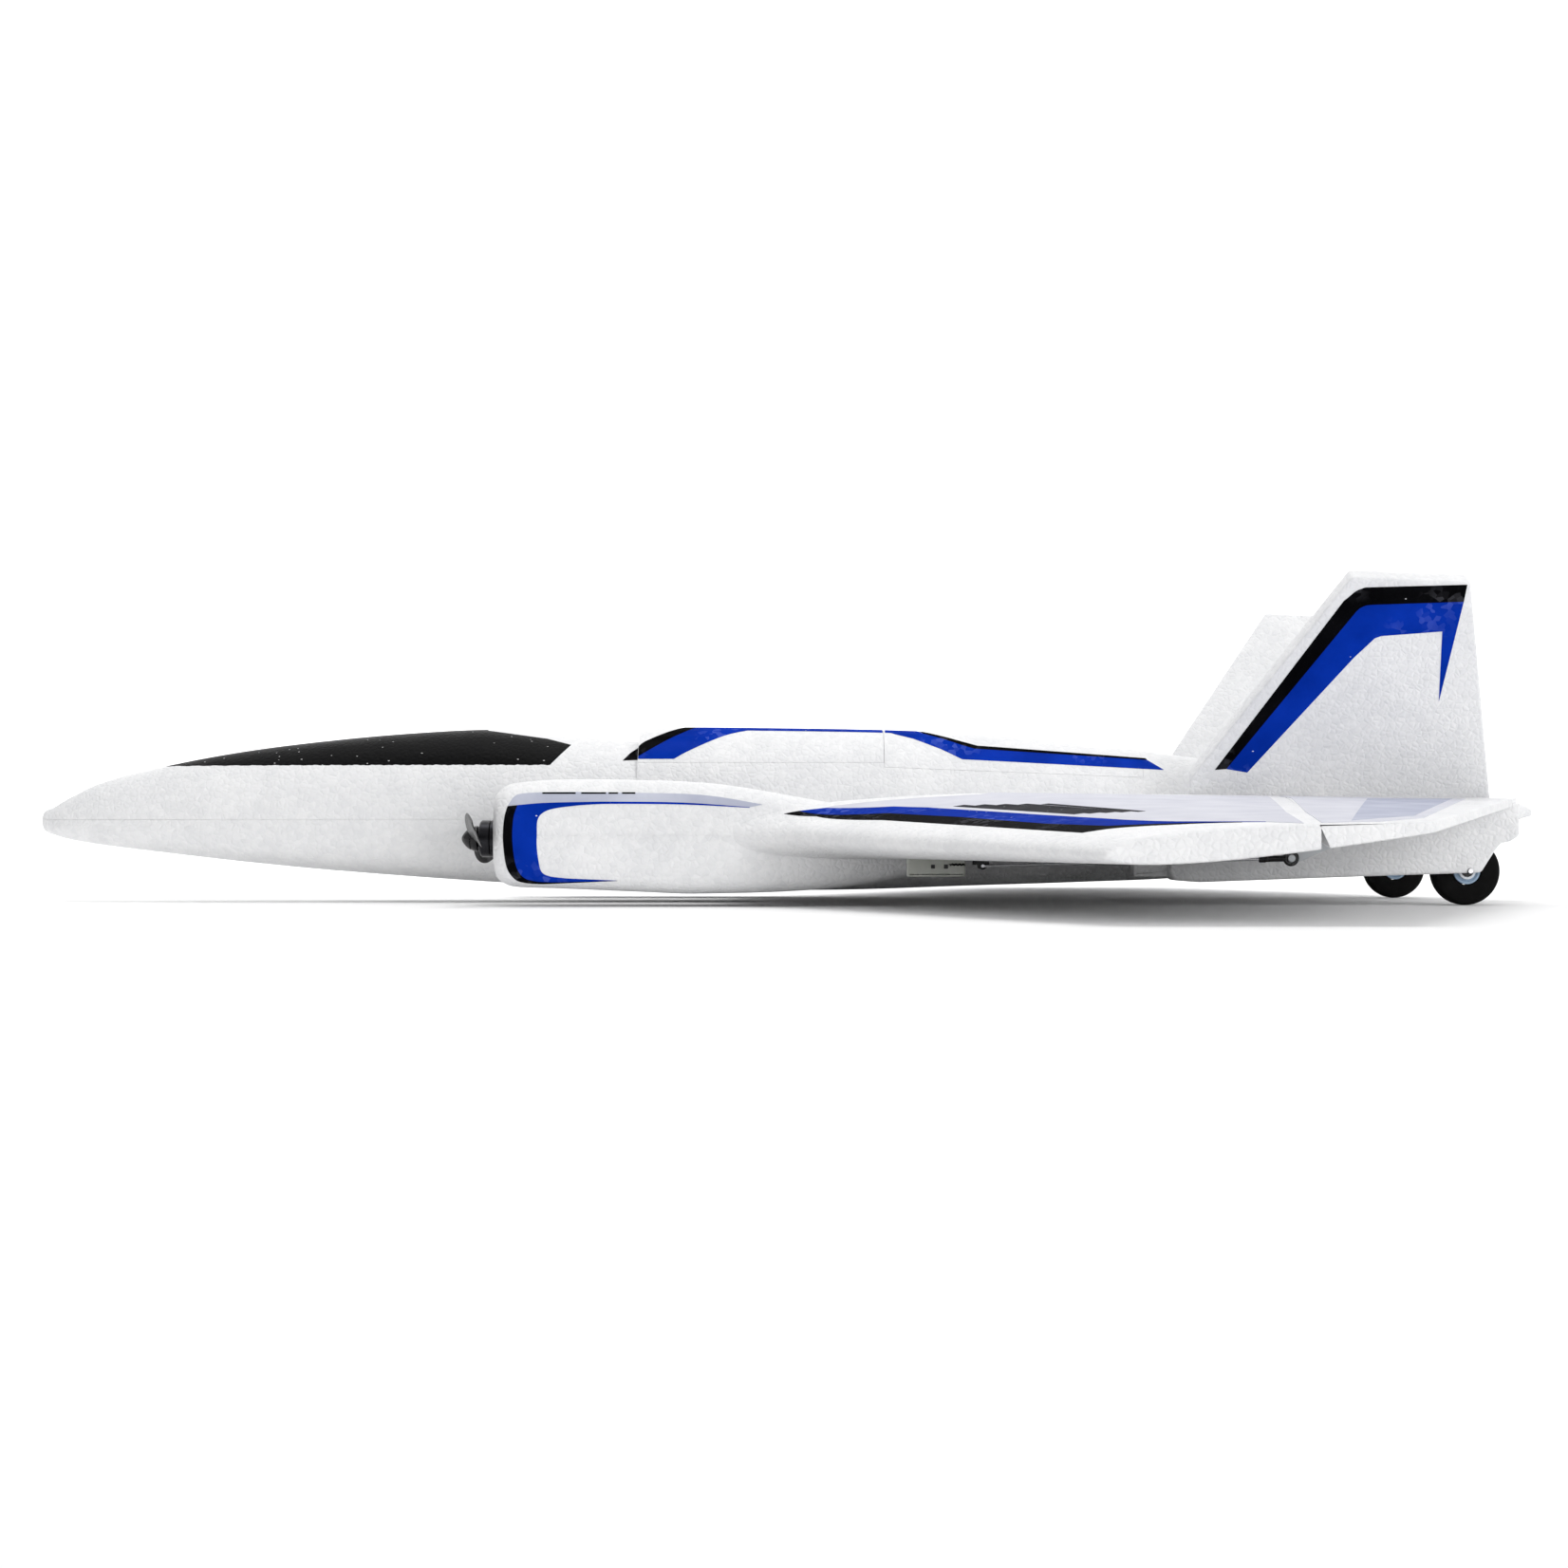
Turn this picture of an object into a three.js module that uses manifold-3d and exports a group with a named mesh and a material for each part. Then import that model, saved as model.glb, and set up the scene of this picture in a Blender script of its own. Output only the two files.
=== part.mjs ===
// A small twin-motor foam jet for radio control, in millimetres.
// The nose points along -X, the right wing along +Y and up is +Z.
// The origin is on the ground under the middle of the length.
import * as THREE from 'three';
import { mergeVertices } from 'three/addons/utils/BufferGeometryUtils.js';
import Module from 'manifold-3d';

const wasm = await Module();
wasm.setup();

// ---- driving dimensions ----
const GAP = 0.3; // between two pieces that touch
const FAR = 400; // longer than anything in the plane

const NOSE_X = -256;
const TAIL_X = 256;
const PARTING_Z = 28; // seam between the two fuselage halves
const TAIL_EDGE_HEIGHT = 1.4; // the widest line stays this far above the belly at the tail
const SHELL_WALL = 4.5;
const FUSELAGE_SIDES = 24;
const CAVITY_FRONT_X = -205;
const CAVITY_REAR_X = 205;

const HATCH_FRONT_X = -49.5;
const HATCH_REAR_X = 33.4;
const HATCH_EDGE_Z = 47.2;
const HATCH_TRAVEL_WALL = 5.5; // thickness of the hatch's front wall
const SPINE_COVER_REAR_X = 121;
const MAGNET_DEPTH = 2;
const MAGNET_Z = 50.7;
const FRAME_MAGNET_X = HATCH_FRONT_X - GAP - MAGNET_DEPTH - 0.2;
const HATCH_MAGNET_X = HATCH_FRONT_X + 0.2;

const HALF_SPAN = 250;
const WING_START_Y = 9; // the panels meet the fuselage side beyond this
const ROOT_Y = 45; // where the chord line is set out at the root
const LE_SET_Y = 75; // where the leading edge is set out, at the nacelle's side
const TIP_ROUND = 1.6;
const TIP_FLATNESS = 0.35; // the tip's rounding is this much lower than it is wide
const WING_TE_THICKNESS = 2.6;
const WING_THICKEST = 0.35; // of the chord
const ROOT_FAIRING = 20; // how far the leading edge runs forward along the nacelle
const ROOT_FAIRING_FADE = 8;
const ELEVON_ROOT_Y = 61.3;
const ELEVON_END_GAP = 0.9; // clear of the fixed wing root when the elevon swings
const ELEVON_ROOT_SLANT = 0.022; // outwards for each millimetre back
const ELEVON_BEVEL = THREE.MathUtils.degToRad(25);
const HINGE_DEPTH = 0.3; // of the hinge line below the upper skin

const FIN_BASE_Y = 38;
const FIN_BASE_Z = 36;
const FIN_CANT = THREE.MathUtils.degToRad(29.5);
const FIN_THICKNESS = 6;

const NACELLE_Y = 60;
const NACELLE_FRONT_X = -91;
const NACELLE_SIDES = 20;
const THRUST_Z = 21.5;
const MOTOR_RADIUS = 5.9;
const MOTOR_FRONT_X = -96.9;
const MOTOR_REAR_X = -78;
const MOUNT_INNER_RADIUS = 6.2;
const MOUNT_OUTER_RADIUS = 7.6;
const MOUNT_FRONT_X = -90;
const MOUNT_REAR_X = -76;
const SHAFT_RADIUS = 0.75;
const HUB_RADIUS = 4.1;
const HUB_FRONT_X = -99.6;
const HUB_REAR_X = -97.4;
const SPINNER_TIP_X = -102.8;
const SPINNER_BASE_RADIUS = 3.6;
const PROP_RADIUS = 28;
const PROP_REST_TURN = THREE.MathUtils.degToRad(8); // the outer blade stands this much above level
const BLADE_RAKE = 0.16; // how far the blades sweep back for each millimetre beyond the can

const WHEEL_X = 221;
const WHEEL_Y = 50.5;
const WHEEL_RADIUS = 11.1;
const TYRE_WIDTH = 7;
const RIM_RADIUS = 4.4;
const AXLE_RADIUS = 0.75;
const POD_INNER_Y = 43;
const POD_OUTER_Y = 58;
const POD_NOSE_X = 113; // the narrower block in front of the pod
const WHEEL_WELL = 9.2; // width of the slot that the wheel runs in

const SPAR_X = 78;
const SPAR_Z = 22;
const SPAR_RADIUS = 1.5;
const SPAR_REACH = 150;

const ROD_Y = 112;
const ROD_RADIUS = 0.5;
const HORN_HOLE_Z = 15.6;
const HORN_THICKNESS = 1.2;
const SERVO_FRONT_X = 38.5;
const SERVO_REAR_X = 56;
const SERVO_SHAFT_X = 61;
const SERVO_SHAFT_Z = 20.3;
const SERVO_ARM = 7;
const SERVO_INNER_Y = 100.5;
const SERVO_OUTER_Y = 109;
const ARM_THICKNESS = 1;
const BENT_END = 0.8; // how far the rod's bent end reaches towards the arm

// ---- materials ----
function material(color, roughness, metalness = 0) {
  return new THREE.MeshStandardMaterial({ color, roughness, metalness });
}

const FOAM = material(0xf2f2f2, 0.7);
const CANOPY_BLACK = material(0x101012, 0.45);
const BLACK_PLASTIC = material(0x141416, 0.25);
const PALE_PLASTIC = material(0xd9dde0, 0.45);
const MOTOR_METAL = material(0x1d1d20, 0.35, 0.8);
const STEEL = material(0xb8babd, 0.3, 1);
const TYRE_RUBBER = material(0x0d0d0e, 0.85);
const HUB_PLASTIC = material(0x8fa3b5, 0.5);
const SERVO_PLASTIC = material(0xccccc4, 0.35);
const BATTERY_WRAP = material(0x1f4fbf, 0.35);
const CIRCUIT_BOARD = material(0x154a2c, 0.5);
const CARBON = material(0x18181a, 0.4);
const PLYWOOD = material(0xc9a676, 0.7);
const STRAP_FABRIC = material(0x202024, 0.9);
const MAGNET = material(0xc4c6c8, 0.25, 1);

// ---- shape tools ----
function signedVolume(vertices, faces) {
  let sum = 0;
  for (let i = 0; i < faces.length; i += 3) {
    const [a, b, c] = [vertices[faces[i]], vertices[faces[i + 1]], vertices[faces[i + 2]]];
    sum += a.dot(new THREE.Vector3().crossVectors(b, c));
  }
  return sum / 6;
}

// A closed solid through rings of points; each end is closed by a fan.
function loft(rings) {
  const count = rings[0].length;
  const vertices = rings.flat();
  const faces = [];
  for (let i = 0; i + 1 < rings.length; i += 1) {
    for (let j = 0; j < count; j += 1) {
      const a = i * count + j;
      const b = i * count + ((j + 1) % count);
      faces.push(a, b, b + count, a, b + count, a + count);
    }
  }
  for (const [ring, start, turn] of [[rings[0], 0, -1], [rings.at(-1), vertices.length - count, 1]]) {
    const middle = new THREE.Vector3();
    ring.forEach((point) => middle.addScaledVector(point, 1 / count));
    vertices.push(middle);
    const hub = vertices.length - 1;
    for (let j = 0; j < count; j += 1) {
      const a = start + j;
      const b = start + ((j + 1) % count);
      faces.push(...(turn > 0 ? [hub, a, b] : [hub, b, a]));
    }
  }
  if (signedVolume(vertices, faces) < 0) {
    faces.reverse();
  }
  const geometry = new THREE.BufferGeometry().setFromPoints(vertices);
  geometry.setIndex(faces);
  return geometry;
}

function toSolid(geometry) {
  const bare = geometry.clone();
  bare.deleteAttribute('normal');
  bare.deleteAttribute('uv');
  const merged = mergeVertices(bare, 1e-4);
  return new wasm.Manifold(new wasm.Mesh({
    numProp: 3,
    vertProperties: Float32Array.from(merged.attributes.position.array),
    triVerts: Uint32Array.from(merged.index.array),
  }));
}

function toGeometry(solid) {
  const mesh = solid.getMesh();
  const geometry = new THREE.BufferGeometry();
  const points = new THREE.BufferAttribute(Float32Array.from(mesh.vertProperties), mesh.numProp);
  geometry.setAttribute('position', points);
  geometry.setIndex(Array.from(mesh.triVerts));
  return geometry;
}

function cut(geometry, ...tools) {
  return toGeometry(tools.reduce((left, tool) => left.subtract(toSolid(tool)), toSolid(geometry)));
}

function join(geometry, ...others) {
  return toGeometry(others.reduce((sum, other) => sum.add(toSolid(other)), toSolid(geometry)));
}

function common(geometry, ...others) {
  return toGeometry(others.reduce((rest, other) => rest.intersect(toSolid(other)), toSolid(geometry)));
}

// The same shape on the other side of the plane, with its faces still pointing out.
function mirrored(geometry) {
  const copy = geometry.index ? geometry.clone() : mergeVertices(geometry.clone(), 1e-4);
  copy.scale(1, -1, 1);
  copy.setIndex(Array.from(copy.index.array).reverse());
  copy.deleteAttribute('normal');
  return copy;
}

// A block between two corners.
function block(low, high) {
  const size = high.map((value, i) => value - low[i]);
  const geometry = new THREE.BoxGeometry(...size);
  return geometry.translate(...low.map((value, i) => value + size[i] / 2));
}

// A cylinder along +X or +Y from a starting point.
function rod(axis, radius, from, length, sides = 20) {
  const geometry = new THREE.CylinderGeometry(radius, radius, length, sides);
  geometry.translate(0, length / 2, 0);
  if (axis === 'x') {
    geometry.rotateZ(-Math.PI / 2);
  }
  return geometry.translate(...from);
}

// A turned piece around an axis along +X; the profile lists [x, radius].
function turnedAboutX(profile, sides) {
  const points = profile.map(([x, radius]) => new THREE.Vector2(radius, x));
  return new THREE.LatheGeometry(points, sides).rotateZ(-Math.PI / 2);
}

// A plate whose outline lists [x, z], standing across Y between two values.
function sidePlate(outline, lowY, highY, bevel = 0) {
  const shape = new THREE.Shape(outline.map(([x, z]) => new THREE.Vector2(x, z)));
  const geometry = new THREE.ExtrudeGeometry(shape, {
    depth: highY - lowY - 2 * bevel,
    bevelEnabled: bevel > 0,
    bevelSize: bevel,
    bevelThickness: bevel,
    bevelOffset: -bevel,
    bevelSegments: 2,
  });
  geometry.rotateX(Math.PI / 2);
  return geometry.translate(0, highY - bevel, 0);
}

// A smooth curve through hand-placed [x, value] points.
function through(points) {
  const slope = (i) => {
    const [before, after] = [points[Math.max(i - 1, 0)], points[Math.min(i + 1, points.length - 1)]];
    return (after[1] - before[1]) / (after[0] - before[0]);
  };
  return (x) => {
    let i = 0;
    while (i < points.length - 2 && x > points[i + 1][0]) {
      i += 1;
    }
    const width = points[i + 1][0] - points[i][0];
    const t = THREE.MathUtils.clamp((x - points[i][0]) / width, 0, 1);
    const [rise, fall] = [t * t * (3 - 2 * t), t * (1 - t)];
    return points[i][1] + (points[i + 1][1] - points[i][1]) * rise
      + width * fall * ((1 - t) * slope(i) - t * slope(i + 1));
  };
}

// ---- fuselage ----
const noseTop = through([
  [NOSE_X, 28.4], [-255.3, 30.9], [-252, 32.4], [-247, 35.4], [-235, 41], [-213, 46.6],
  [-184, 51.9], [-152, 55.8], [-126, 58], [-102, 59.1], [-90, 58.2], [-66, 56.2], [-49, 54.8],
]);
const spineTop = through([
  [-50, 59.5], [-36, 59.8], [-9, 59.6], [33, 58.9], [60, 57.8], [85, 56.1], [115, 52.8],
  [136, 50], [160, 46.6], [200, 41], [235, 36.2], [252, 34], [TAIL_X, 32],
]);
const bellyLine = through([
  [NOSE_X, 26.8], [-255.3, 24.4], [-252, 22.9], [-247, 21.4], [-235, 19.4], [-213, 16.7],
  [-184, 13.4], [-152, 10.4], [-102, 6.8], [-60, 4.6], [-30, 4], [20, 4], [63, 5.4],
  [100, 6.6], [136, 8.2], [180, 13], [225, 21], [250, 27.6], [TAIL_X, 29.2],
]);
const halfWidth = through([
  [NOSE_X, 0.9], [-255.3, 3.2], [-252, 5], [-247, 7.4], [-235, 11.6], [-213, 16.2],
  [-184, 20], [-152, 22.4], [-102, 24.4], [-50, 25], [33, 25], [100, 23], [160, 19],
  [220, 14.5], [244, 10.5], [TAIL_X, 4.5],
]);
const FUSELAGE_STATIONS = [
  NOSE_X, -255.3, -252, -247, -235, -222, -205, -184, -152, -126, -102, -90, -66, HATCH_FRONT_X - 0.2,
  HATCH_FRONT_X, -30, 20, HATCH_REAR_X, 63, 85, 115, 136, 160, 190, 225, 250, TAIL_X,
];
const CAVITY_STATIONS = [
  CAVITY_FRONT_X, -184, -152, -102, -66, HATCH_FRONT_X + HATCH_TRAVEL_WALL,
  HATCH_FRONT_X + HATCH_TRAVEL_WALL + 0.2, 20, 63, 115, 160, CAVITY_REAR_X,
];

// One cross-section: two half ovals that meet at the parting line, with a flat at top and bottom.
function fuselageRing(x, topZ, bottomZ, half, sides) {
  const middleZ = Math.max(PARTING_Z, bottomZ + TAIL_EDGE_HEIGHT);
  const points = [];
  for (let i = 0; i < sides; i += 1) {
    const angle = ((i + 0.5) / sides) * 2 * Math.PI;
    const power = Math.sin(angle) > 0 ? 2 / 2.3 : 2 / 2.7;
    const across = Math.sign(Math.cos(angle)) * Math.abs(Math.cos(angle)) ** power;
    const up = Math.abs(Math.sin(angle)) ** power;
    const reach = Math.sin(angle) > 0 ? topZ - middleZ : bottomZ - middleZ;
    const z = middleZ + up * reach;
    points.push(new THREE.Vector3(x, across * half, z));
  }
  return points;
}

function fuselageLoft(stations, stepX, grow, sides) {
  return loft(stations.map((x, i) => {
    const top = x < stepX ? noseTop(x) : spineTop(x);
    const past = grow > 0 ? (i === stations.length - 1) * grow - (i === 0) * grow : 0;
    return fuselageRing(x + past, top + grow, bellyLine(x) - grow, halfWidth(x) + grow, sides);
  }));
}

const fuselageOutside = fuselageLoft(FUSELAGE_STATIONS, HATCH_FRONT_X, 0, FUSELAGE_SIDES);
const fuselageClearance = fuselageLoft(FUSELAGE_STATIONS, HATCH_FRONT_X, GAP, FUSELAGE_SIDES);

function fuselageShell() {
  const stepX = HATCH_FRONT_X + HATCH_TRAVEL_WALL + 0.1;
  const cavity = fuselageLoft(CAVITY_STATIONS, stepX, -SHELL_WALL, 16);
  const sparHole = rod('y', SPAR_RADIUS + GAP, [SPAR_X, -60, SPAR_Z], 120, 12);
  return cut(fuselageOutside, cavity, sparHole);
}

// Outlines of the lids in side view, each widened by a margin.
function canopyOutline(margin) {
  return [
    [-226, 46.4 - margin], [-79, 46.4 - margin], [-72.6 + margin, 53.4], [-81 + margin, 55.6],
    [-102 + margin, 58.6], [-102 + margin, 70], [-226, 70],
  ];
}

function hatchOutline(margin) {
  const [front, rear, edge] = [HATCH_FRONT_X - margin, HATCH_REAR_X + margin, HATCH_EDGE_Z - margin];
  return [[front, edge], [rear, edge], [rear, 70], [front, 70]];
}

function spineCoverOutline(margin) {
  const front = HATCH_REAR_X + GAP - margin;
  const rear = SPINE_COVER_REAR_X + margin;
  return [[front, 45.6 - margin], [rear, 42.2 - margin], [rear, 70], [front, 70]];
}

const shell = fuselageShell();
const ACROSS = [-40, 40];

function fuselageLowerShell() {
  return common(shell, block([-FAR, -60, -10], [FAR, 60, PARTING_Z - GAP / 2]));
}

function fuselageUpperShell() {
  const upper = common(shell, block([-FAR, -60, PARTING_Z + GAP / 2], [FAR, 60, 80]));
  const lids = [canopyOutline(GAP), hatchOutline(GAP), spineCoverOutline(GAP)];
  const cutters = lids.map((outline) => sidePlate(outline, ...ACROSS));
  return cut(upper, ...cutters, magnet(FRAME_MAGNET_X, GAP));
}

function canopy() {
  return common(shell, sidePlate(canopyOutline(0), ...ACROSS));
}

function batteryHatch() {
  return cut(common(shell, sidePlate(hatchOutline(0), ...ACROSS)), magnet(HATCH_MAGNET_X, GAP));
}

function spineCover() {
  return common(shell, sidePlate(spineCoverOutline(0), ...ACROSS));
}

// ---- wing ----
// The leading edge is straight, and curves forward where it meets the nacelle's outer side.
function leadingX(y) {
  const fade = Math.exp(-Math.max(y - LE_SET_Y - 1, 0) / ROOT_FAIRING_FADE);
  return -0.6 + (y - LE_SET_Y) * 0.473 - (y > NACELLE_Y ? ROOT_FAIRING * fade : 0);
}

const leadingZ = (y) => 22.6 - Math.max(y - LE_SET_Y, 0) * 0.029;
const trailingX = (y) => 239.4 - Math.max(y - ROOT_Y, 0) * 0.374;
const trailingZ = (y) => 33.6 - Math.max(y - ROOT_Y, 0) * 0.0459;
const hingeX = (y) => 162.4 - (y - ROOT_Y) * 0.1366;
const thickestHalf = (y) => 10 - Math.max(y - LE_SET_Y, 0) * 0.0343;
const tailPower = (y) => 1 + Math.max(y - LE_SET_Y, 0) * 0.0034;

// Half thickness at a fraction of the chord: an oval nose, and a tail that tapers
// straight at the root and is fuller towards the tip.
function halfThickness(y, fraction) {
  const most = thickestHalf(y);
  if (fraction < WING_THICKEST) {
    const t = 1 - fraction / WING_THICKEST;
    return most * Math.max(1 - t ** 2.4, 0) ** (1 / 2.4);
  }
  const t = (fraction - WING_THICKEST) / (1 - WING_THICKEST);
  const tail = WING_TE_THICKNESS / 2;
  return tail + (most - tail) * (1 - t ** tailPower(y));
}

function wingPoint(y, fraction, side, grow, inset) {
  const chord = trailingX(y) - leadingX(y);
  const x = leadingX(y) + chord * fraction;
  const z = leadingZ(y) + (trailingZ(y) - leadingZ(y)) * fraction;
  const shrink = (1 - 2 * fraction) * (inset - grow);
  const half = halfThickness(y, fraction) - inset * TIP_FLATNESS + grow;
  return [x + shrink, z + side * half];
}

const CHORD_FRACTIONS = [0.012, 0.05, 0.11, 0.2, 0.35, 0.5, 0.65, 0.8, 0.92, 1];

function wingRing(y, grow, inset) {
  const upper = CHORD_FRACTIONS.map((f) => wingPoint(y, f, 1, grow, inset));
  const lower = CHORD_FRACTIONS.map((f) => wingPoint(y, f, -1, grow, inset)).reverse();
  const nose = [leadingX(y) + inset - grow, leadingZ(y)];
  return [nose, ...upper, ...lower].map(([x, z]) => new THREE.Vector3(x, y, z));
}

function wingLoft(grow) {
  const stations = [WING_START_Y, ROOT_Y, NACELLE_Y, LE_SET_Y, 78, 82, 88, 98, 130, 190];
  const rings = stations.map((y) => wingRing(y, grow, 0));
  for (const near of [TIP_ROUND, TIP_ROUND * 0.4, 0]) {
    const inset = TIP_ROUND - Math.sqrt(TIP_ROUND ** 2 - (TIP_ROUND - near) ** 2);
    rings.push(wingRing(HALF_SPAN - near + grow, grow, inset));
  }
  return loft(rings);
}

const wingOutside = wingLoft(0);
const wingClearance = wingLoft(GAP);

// The hinge line runs just under the upper skin.
function hingePoint(y) {
  const fraction = (hingeX(y) - leadingX(y)) / (trailingX(y) - leadingX(y));
  const [, z] = wingPoint(y, fraction, 1, 0, 0);
  return new THREE.Vector3(hingeX(y), y, z - HINGE_DEPTH);
}

// Everything behind the hinge line. The elevon's share has its lower front corner cut back for
// its travel, and its root edge drawn outwards, because the hinge line isn't square to it.
function behindHinge(margin, endGap, bevel, rootSlant) {
  return loft([ELEVON_ROOT_Y - endGap, HALF_SPAN + 5].map((y) => {
    const hinge = hingePoint(Math.min(y, HALF_SPAN));
    const front = hinge.x + GAP / 2 - margin;
    const low = -5;
    const back = (hinge.z - low) * Math.tan(bevel);
    const outline = [[front, 60], [front, hinge.z], [front + back, low], [FAR, low], [FAR, 60]];
    return outline.map(([x, z]) => new THREE.Vector3(x, y + (x - front) * rootSlant, z));
  }));
}

function elevon() {
  return common(wingOutside, behindHinge(0, 0, ELEVON_BEVEL, ELEVON_ROOT_SLANT));
}

// Room for the servo and the swing of its arm, open below.
function servoPocket() {
  const armRoom = block([53, SERVO_OUTER_Y, 0], [69, ROD_Y + 1.4, 24]);
  return join(servoCase(0.4), servoCase(0.4).translate(0, 0, -8), armRoom);
}

function wing() {
  const sparBore = rod('y', SPAR_RADIUS + GAP, [SPAR_X, 0, SPAR_Z], SPAR_REACH + 1, 12);
  const elevonRoom = behindHinge(GAP, ELEVON_END_GAP, 0, 0);
  return cut(wingOutside, fuselageClearance, nacelleLoft(GAP), elevonRoom, sparBore, servoPocket());
}

// ---- fin, standing on the wing root and leaning outwards ----
function fin() {
  const outline = [
    [133, -4.2], [133, 7.2], [136, 12.2], [178.4, 79], [215.8, 77.4], [232.9, -4.2],
  ];
  const plate = sidePlate(outline, -FIN_THICKNESS / 2, FIN_THICKNESS / 2, 1.6);
  plate.rotateX(-FIN_CANT);
  plate.translate(0, FIN_BASE_Y, FIN_BASE_Z);
  return cut(plate, wingClearance, fuselageClearance);
}

// ---- nacelle ----
const nacelleTop = through([
  [NACELLE_FRONT_X, 33.5], [-90.2, 36], [-88, 38], [-85, 39.2], [-72, 40.3], [-45, 40.2],
  [-20, 38.9], [12, 33.6], [40, 29], [68, 24],
]);
const nacelleBottom = through([
  [NACELLE_FRONT_X, 12], [-90.2, 9], [-88, 7.2], [-85, 6.2], [-72, 5.7], [-45, 4.6],
  [-27, 4], [12, 5.4], [40, 9.5], [68, 17],
]);
const nacelleHalf = through([
  [NACELLE_FRONT_X, 13], [-90.2, 15.5], [-88, 17], [-85, 17.7], [-72, 18], [-20, 18],
  [12, 16], [40, 12], [68, 6],
]);
const NACELLE_STATIONS = [NACELLE_FRONT_X, -90.2, -88, -85, -72, -45, -27, -8, 12, 40, 68];

function nacelleLoft(grow) {
  return loft(NACELLE_STATIONS.map((x, i) => {
    const [top, bottom, half] = [nacelleTop(x), nacelleBottom(x), nacelleHalf(x)];
    const past = (i === NACELLE_STATIONS.length - 1) * grow - (i === 0) * grow;
    const ring = [];
    for (let j = 0; j < NACELLE_SIDES; j += 1) {
      const angle = ((j + 0.5) / NACELLE_SIDES) * 2 * Math.PI;
      const square = (value) => Math.sign(value) * Math.abs(value) ** 0.45;
      const y = NACELLE_Y + square(Math.cos(angle)) * (half + grow);
      const z = (top + bottom) / 2 + square(Math.sin(angle)) * ((top - bottom) / 2 + grow);
      ring.push(new THREE.Vector3(x + past, y, z));
    }
    return ring;
  }));
}

function nacelle() {
  const bore = rod('x', MOUNT_OUTER_RADIUS + GAP, [NACELLE_FRONT_X - 5, NACELLE_Y, THRUST_Z], 20.5, 24);
  const bay = block([-80, NACELLE_Y - 6, THRUST_Z - 3], [-45, NACELLE_Y + 6, THRUST_Z + 4]);
  return cut(nacelleLoft(0), bore, bay);
}

// ---- power units; each is set out on the thrust line, and placed by its group ----
function motorCan() {
  const can = turnedAboutX([
    [MOTOR_FRONT_X, 0], [MOTOR_FRONT_X, MOTOR_RADIUS - 0.8], [MOTOR_FRONT_X + 0.6, MOTOR_RADIUS],
    [MOTOR_REAR_X, MOTOR_RADIUS], [MOTOR_REAR_X, 0],
  ], 24);
  return cut(can, rod('x', SHAFT_RADIUS + GAP, [MOTOR_FRONT_X - 1, 0, 0], 14, 10));
}

function motorMount() {
  const cup = rod('x', MOUNT_OUTER_RADIUS, [MOUNT_FRONT_X, 0, 0], MOUNT_REAR_X - MOUNT_FRONT_X, 24);
  return cut(
    cup,
    rod('x', MOUNT_INNER_RADIUS, [MOUNT_FRONT_X - 1, 0, 0], MOTOR_REAR_X + GAP - MOUNT_FRONT_X + 1, 24),
    rod('x', 2, [MOUNT_REAR_X - 4, 0, 0], 8, 10),
  );
}

function motorShaft() {
  return rod('x', SHAFT_RADIUS, [HUB_FRONT_X, 0, 0], 11, 10);
}

function spinnerCap() {
  const base = HUB_FRONT_X - GAP;
  const middle = (SPINNER_TIP_X + base) / 2;
  return turnedAboutX([
    [SPINNER_TIP_X, 0], [SPINNER_TIP_X + 0.2, 0.6], [middle, 2.5], [base, SPINNER_BASE_RADIUS], [base, 0],
  ], 20);
}

// One blade along +Y: flat oval sections, steep at the hub and flatter at the tip, swept back.
function blade() {
  const middleX = (HUB_FRONT_X + HUB_REAR_X) / 2;
  const chordAt = through([[2, 2], [6.6, 2.4], [9, 6.8], [16, 11.4], [23, 10.2], [PROP_RADIUS, 4]]);
  const rings = [2, 6.6, 9, 12, 16, 20, 23, 26.5, PROP_RADIUS].map((radius) => {
    const pitch = Math.atan2(9, radius) * 0.75 + 0.12;
    const swept = BLADE_RAKE * Math.max(radius - MOTOR_RADIUS, 0);
    const points = [];
    for (let i = 0; i < 10; i += 1) {
      const angle = (i / 10) * 2 * Math.PI;
      const along = (chordAt(radius) / 2) * Math.cos(angle);
      const thick = 0.55 * Math.sin(angle);
      const x = middleX + swept - along * Math.sin(pitch) + thick * Math.cos(pitch);
      const z = along * Math.cos(pitch) + thick * Math.sin(pitch);
      points.push(new THREE.Vector3(x, radius, z));
    }
    return points;
  });
  return loft(rings);
}

function propeller() {
  const hub = turnedAboutX([
    [HUB_FRONT_X, 0], [HUB_FRONT_X, SPINNER_BASE_RADIUS], [HUB_REAR_X - 1, HUB_RADIUS],
    [HUB_REAR_X, HUB_RADIUS], [HUB_REAR_X, 0],
  ], 20);
  const solid = join(hub, blade(), blade().rotateX(Math.PI));
  return cut(solid, rod('x', SHAFT_RADIUS + GAP, [HUB_FRONT_X - 1, 0, 0], 8, 10));
}

function speedController() {
  return block([-74, -5, -2.5], [-50, 5, 1]);
}

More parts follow.
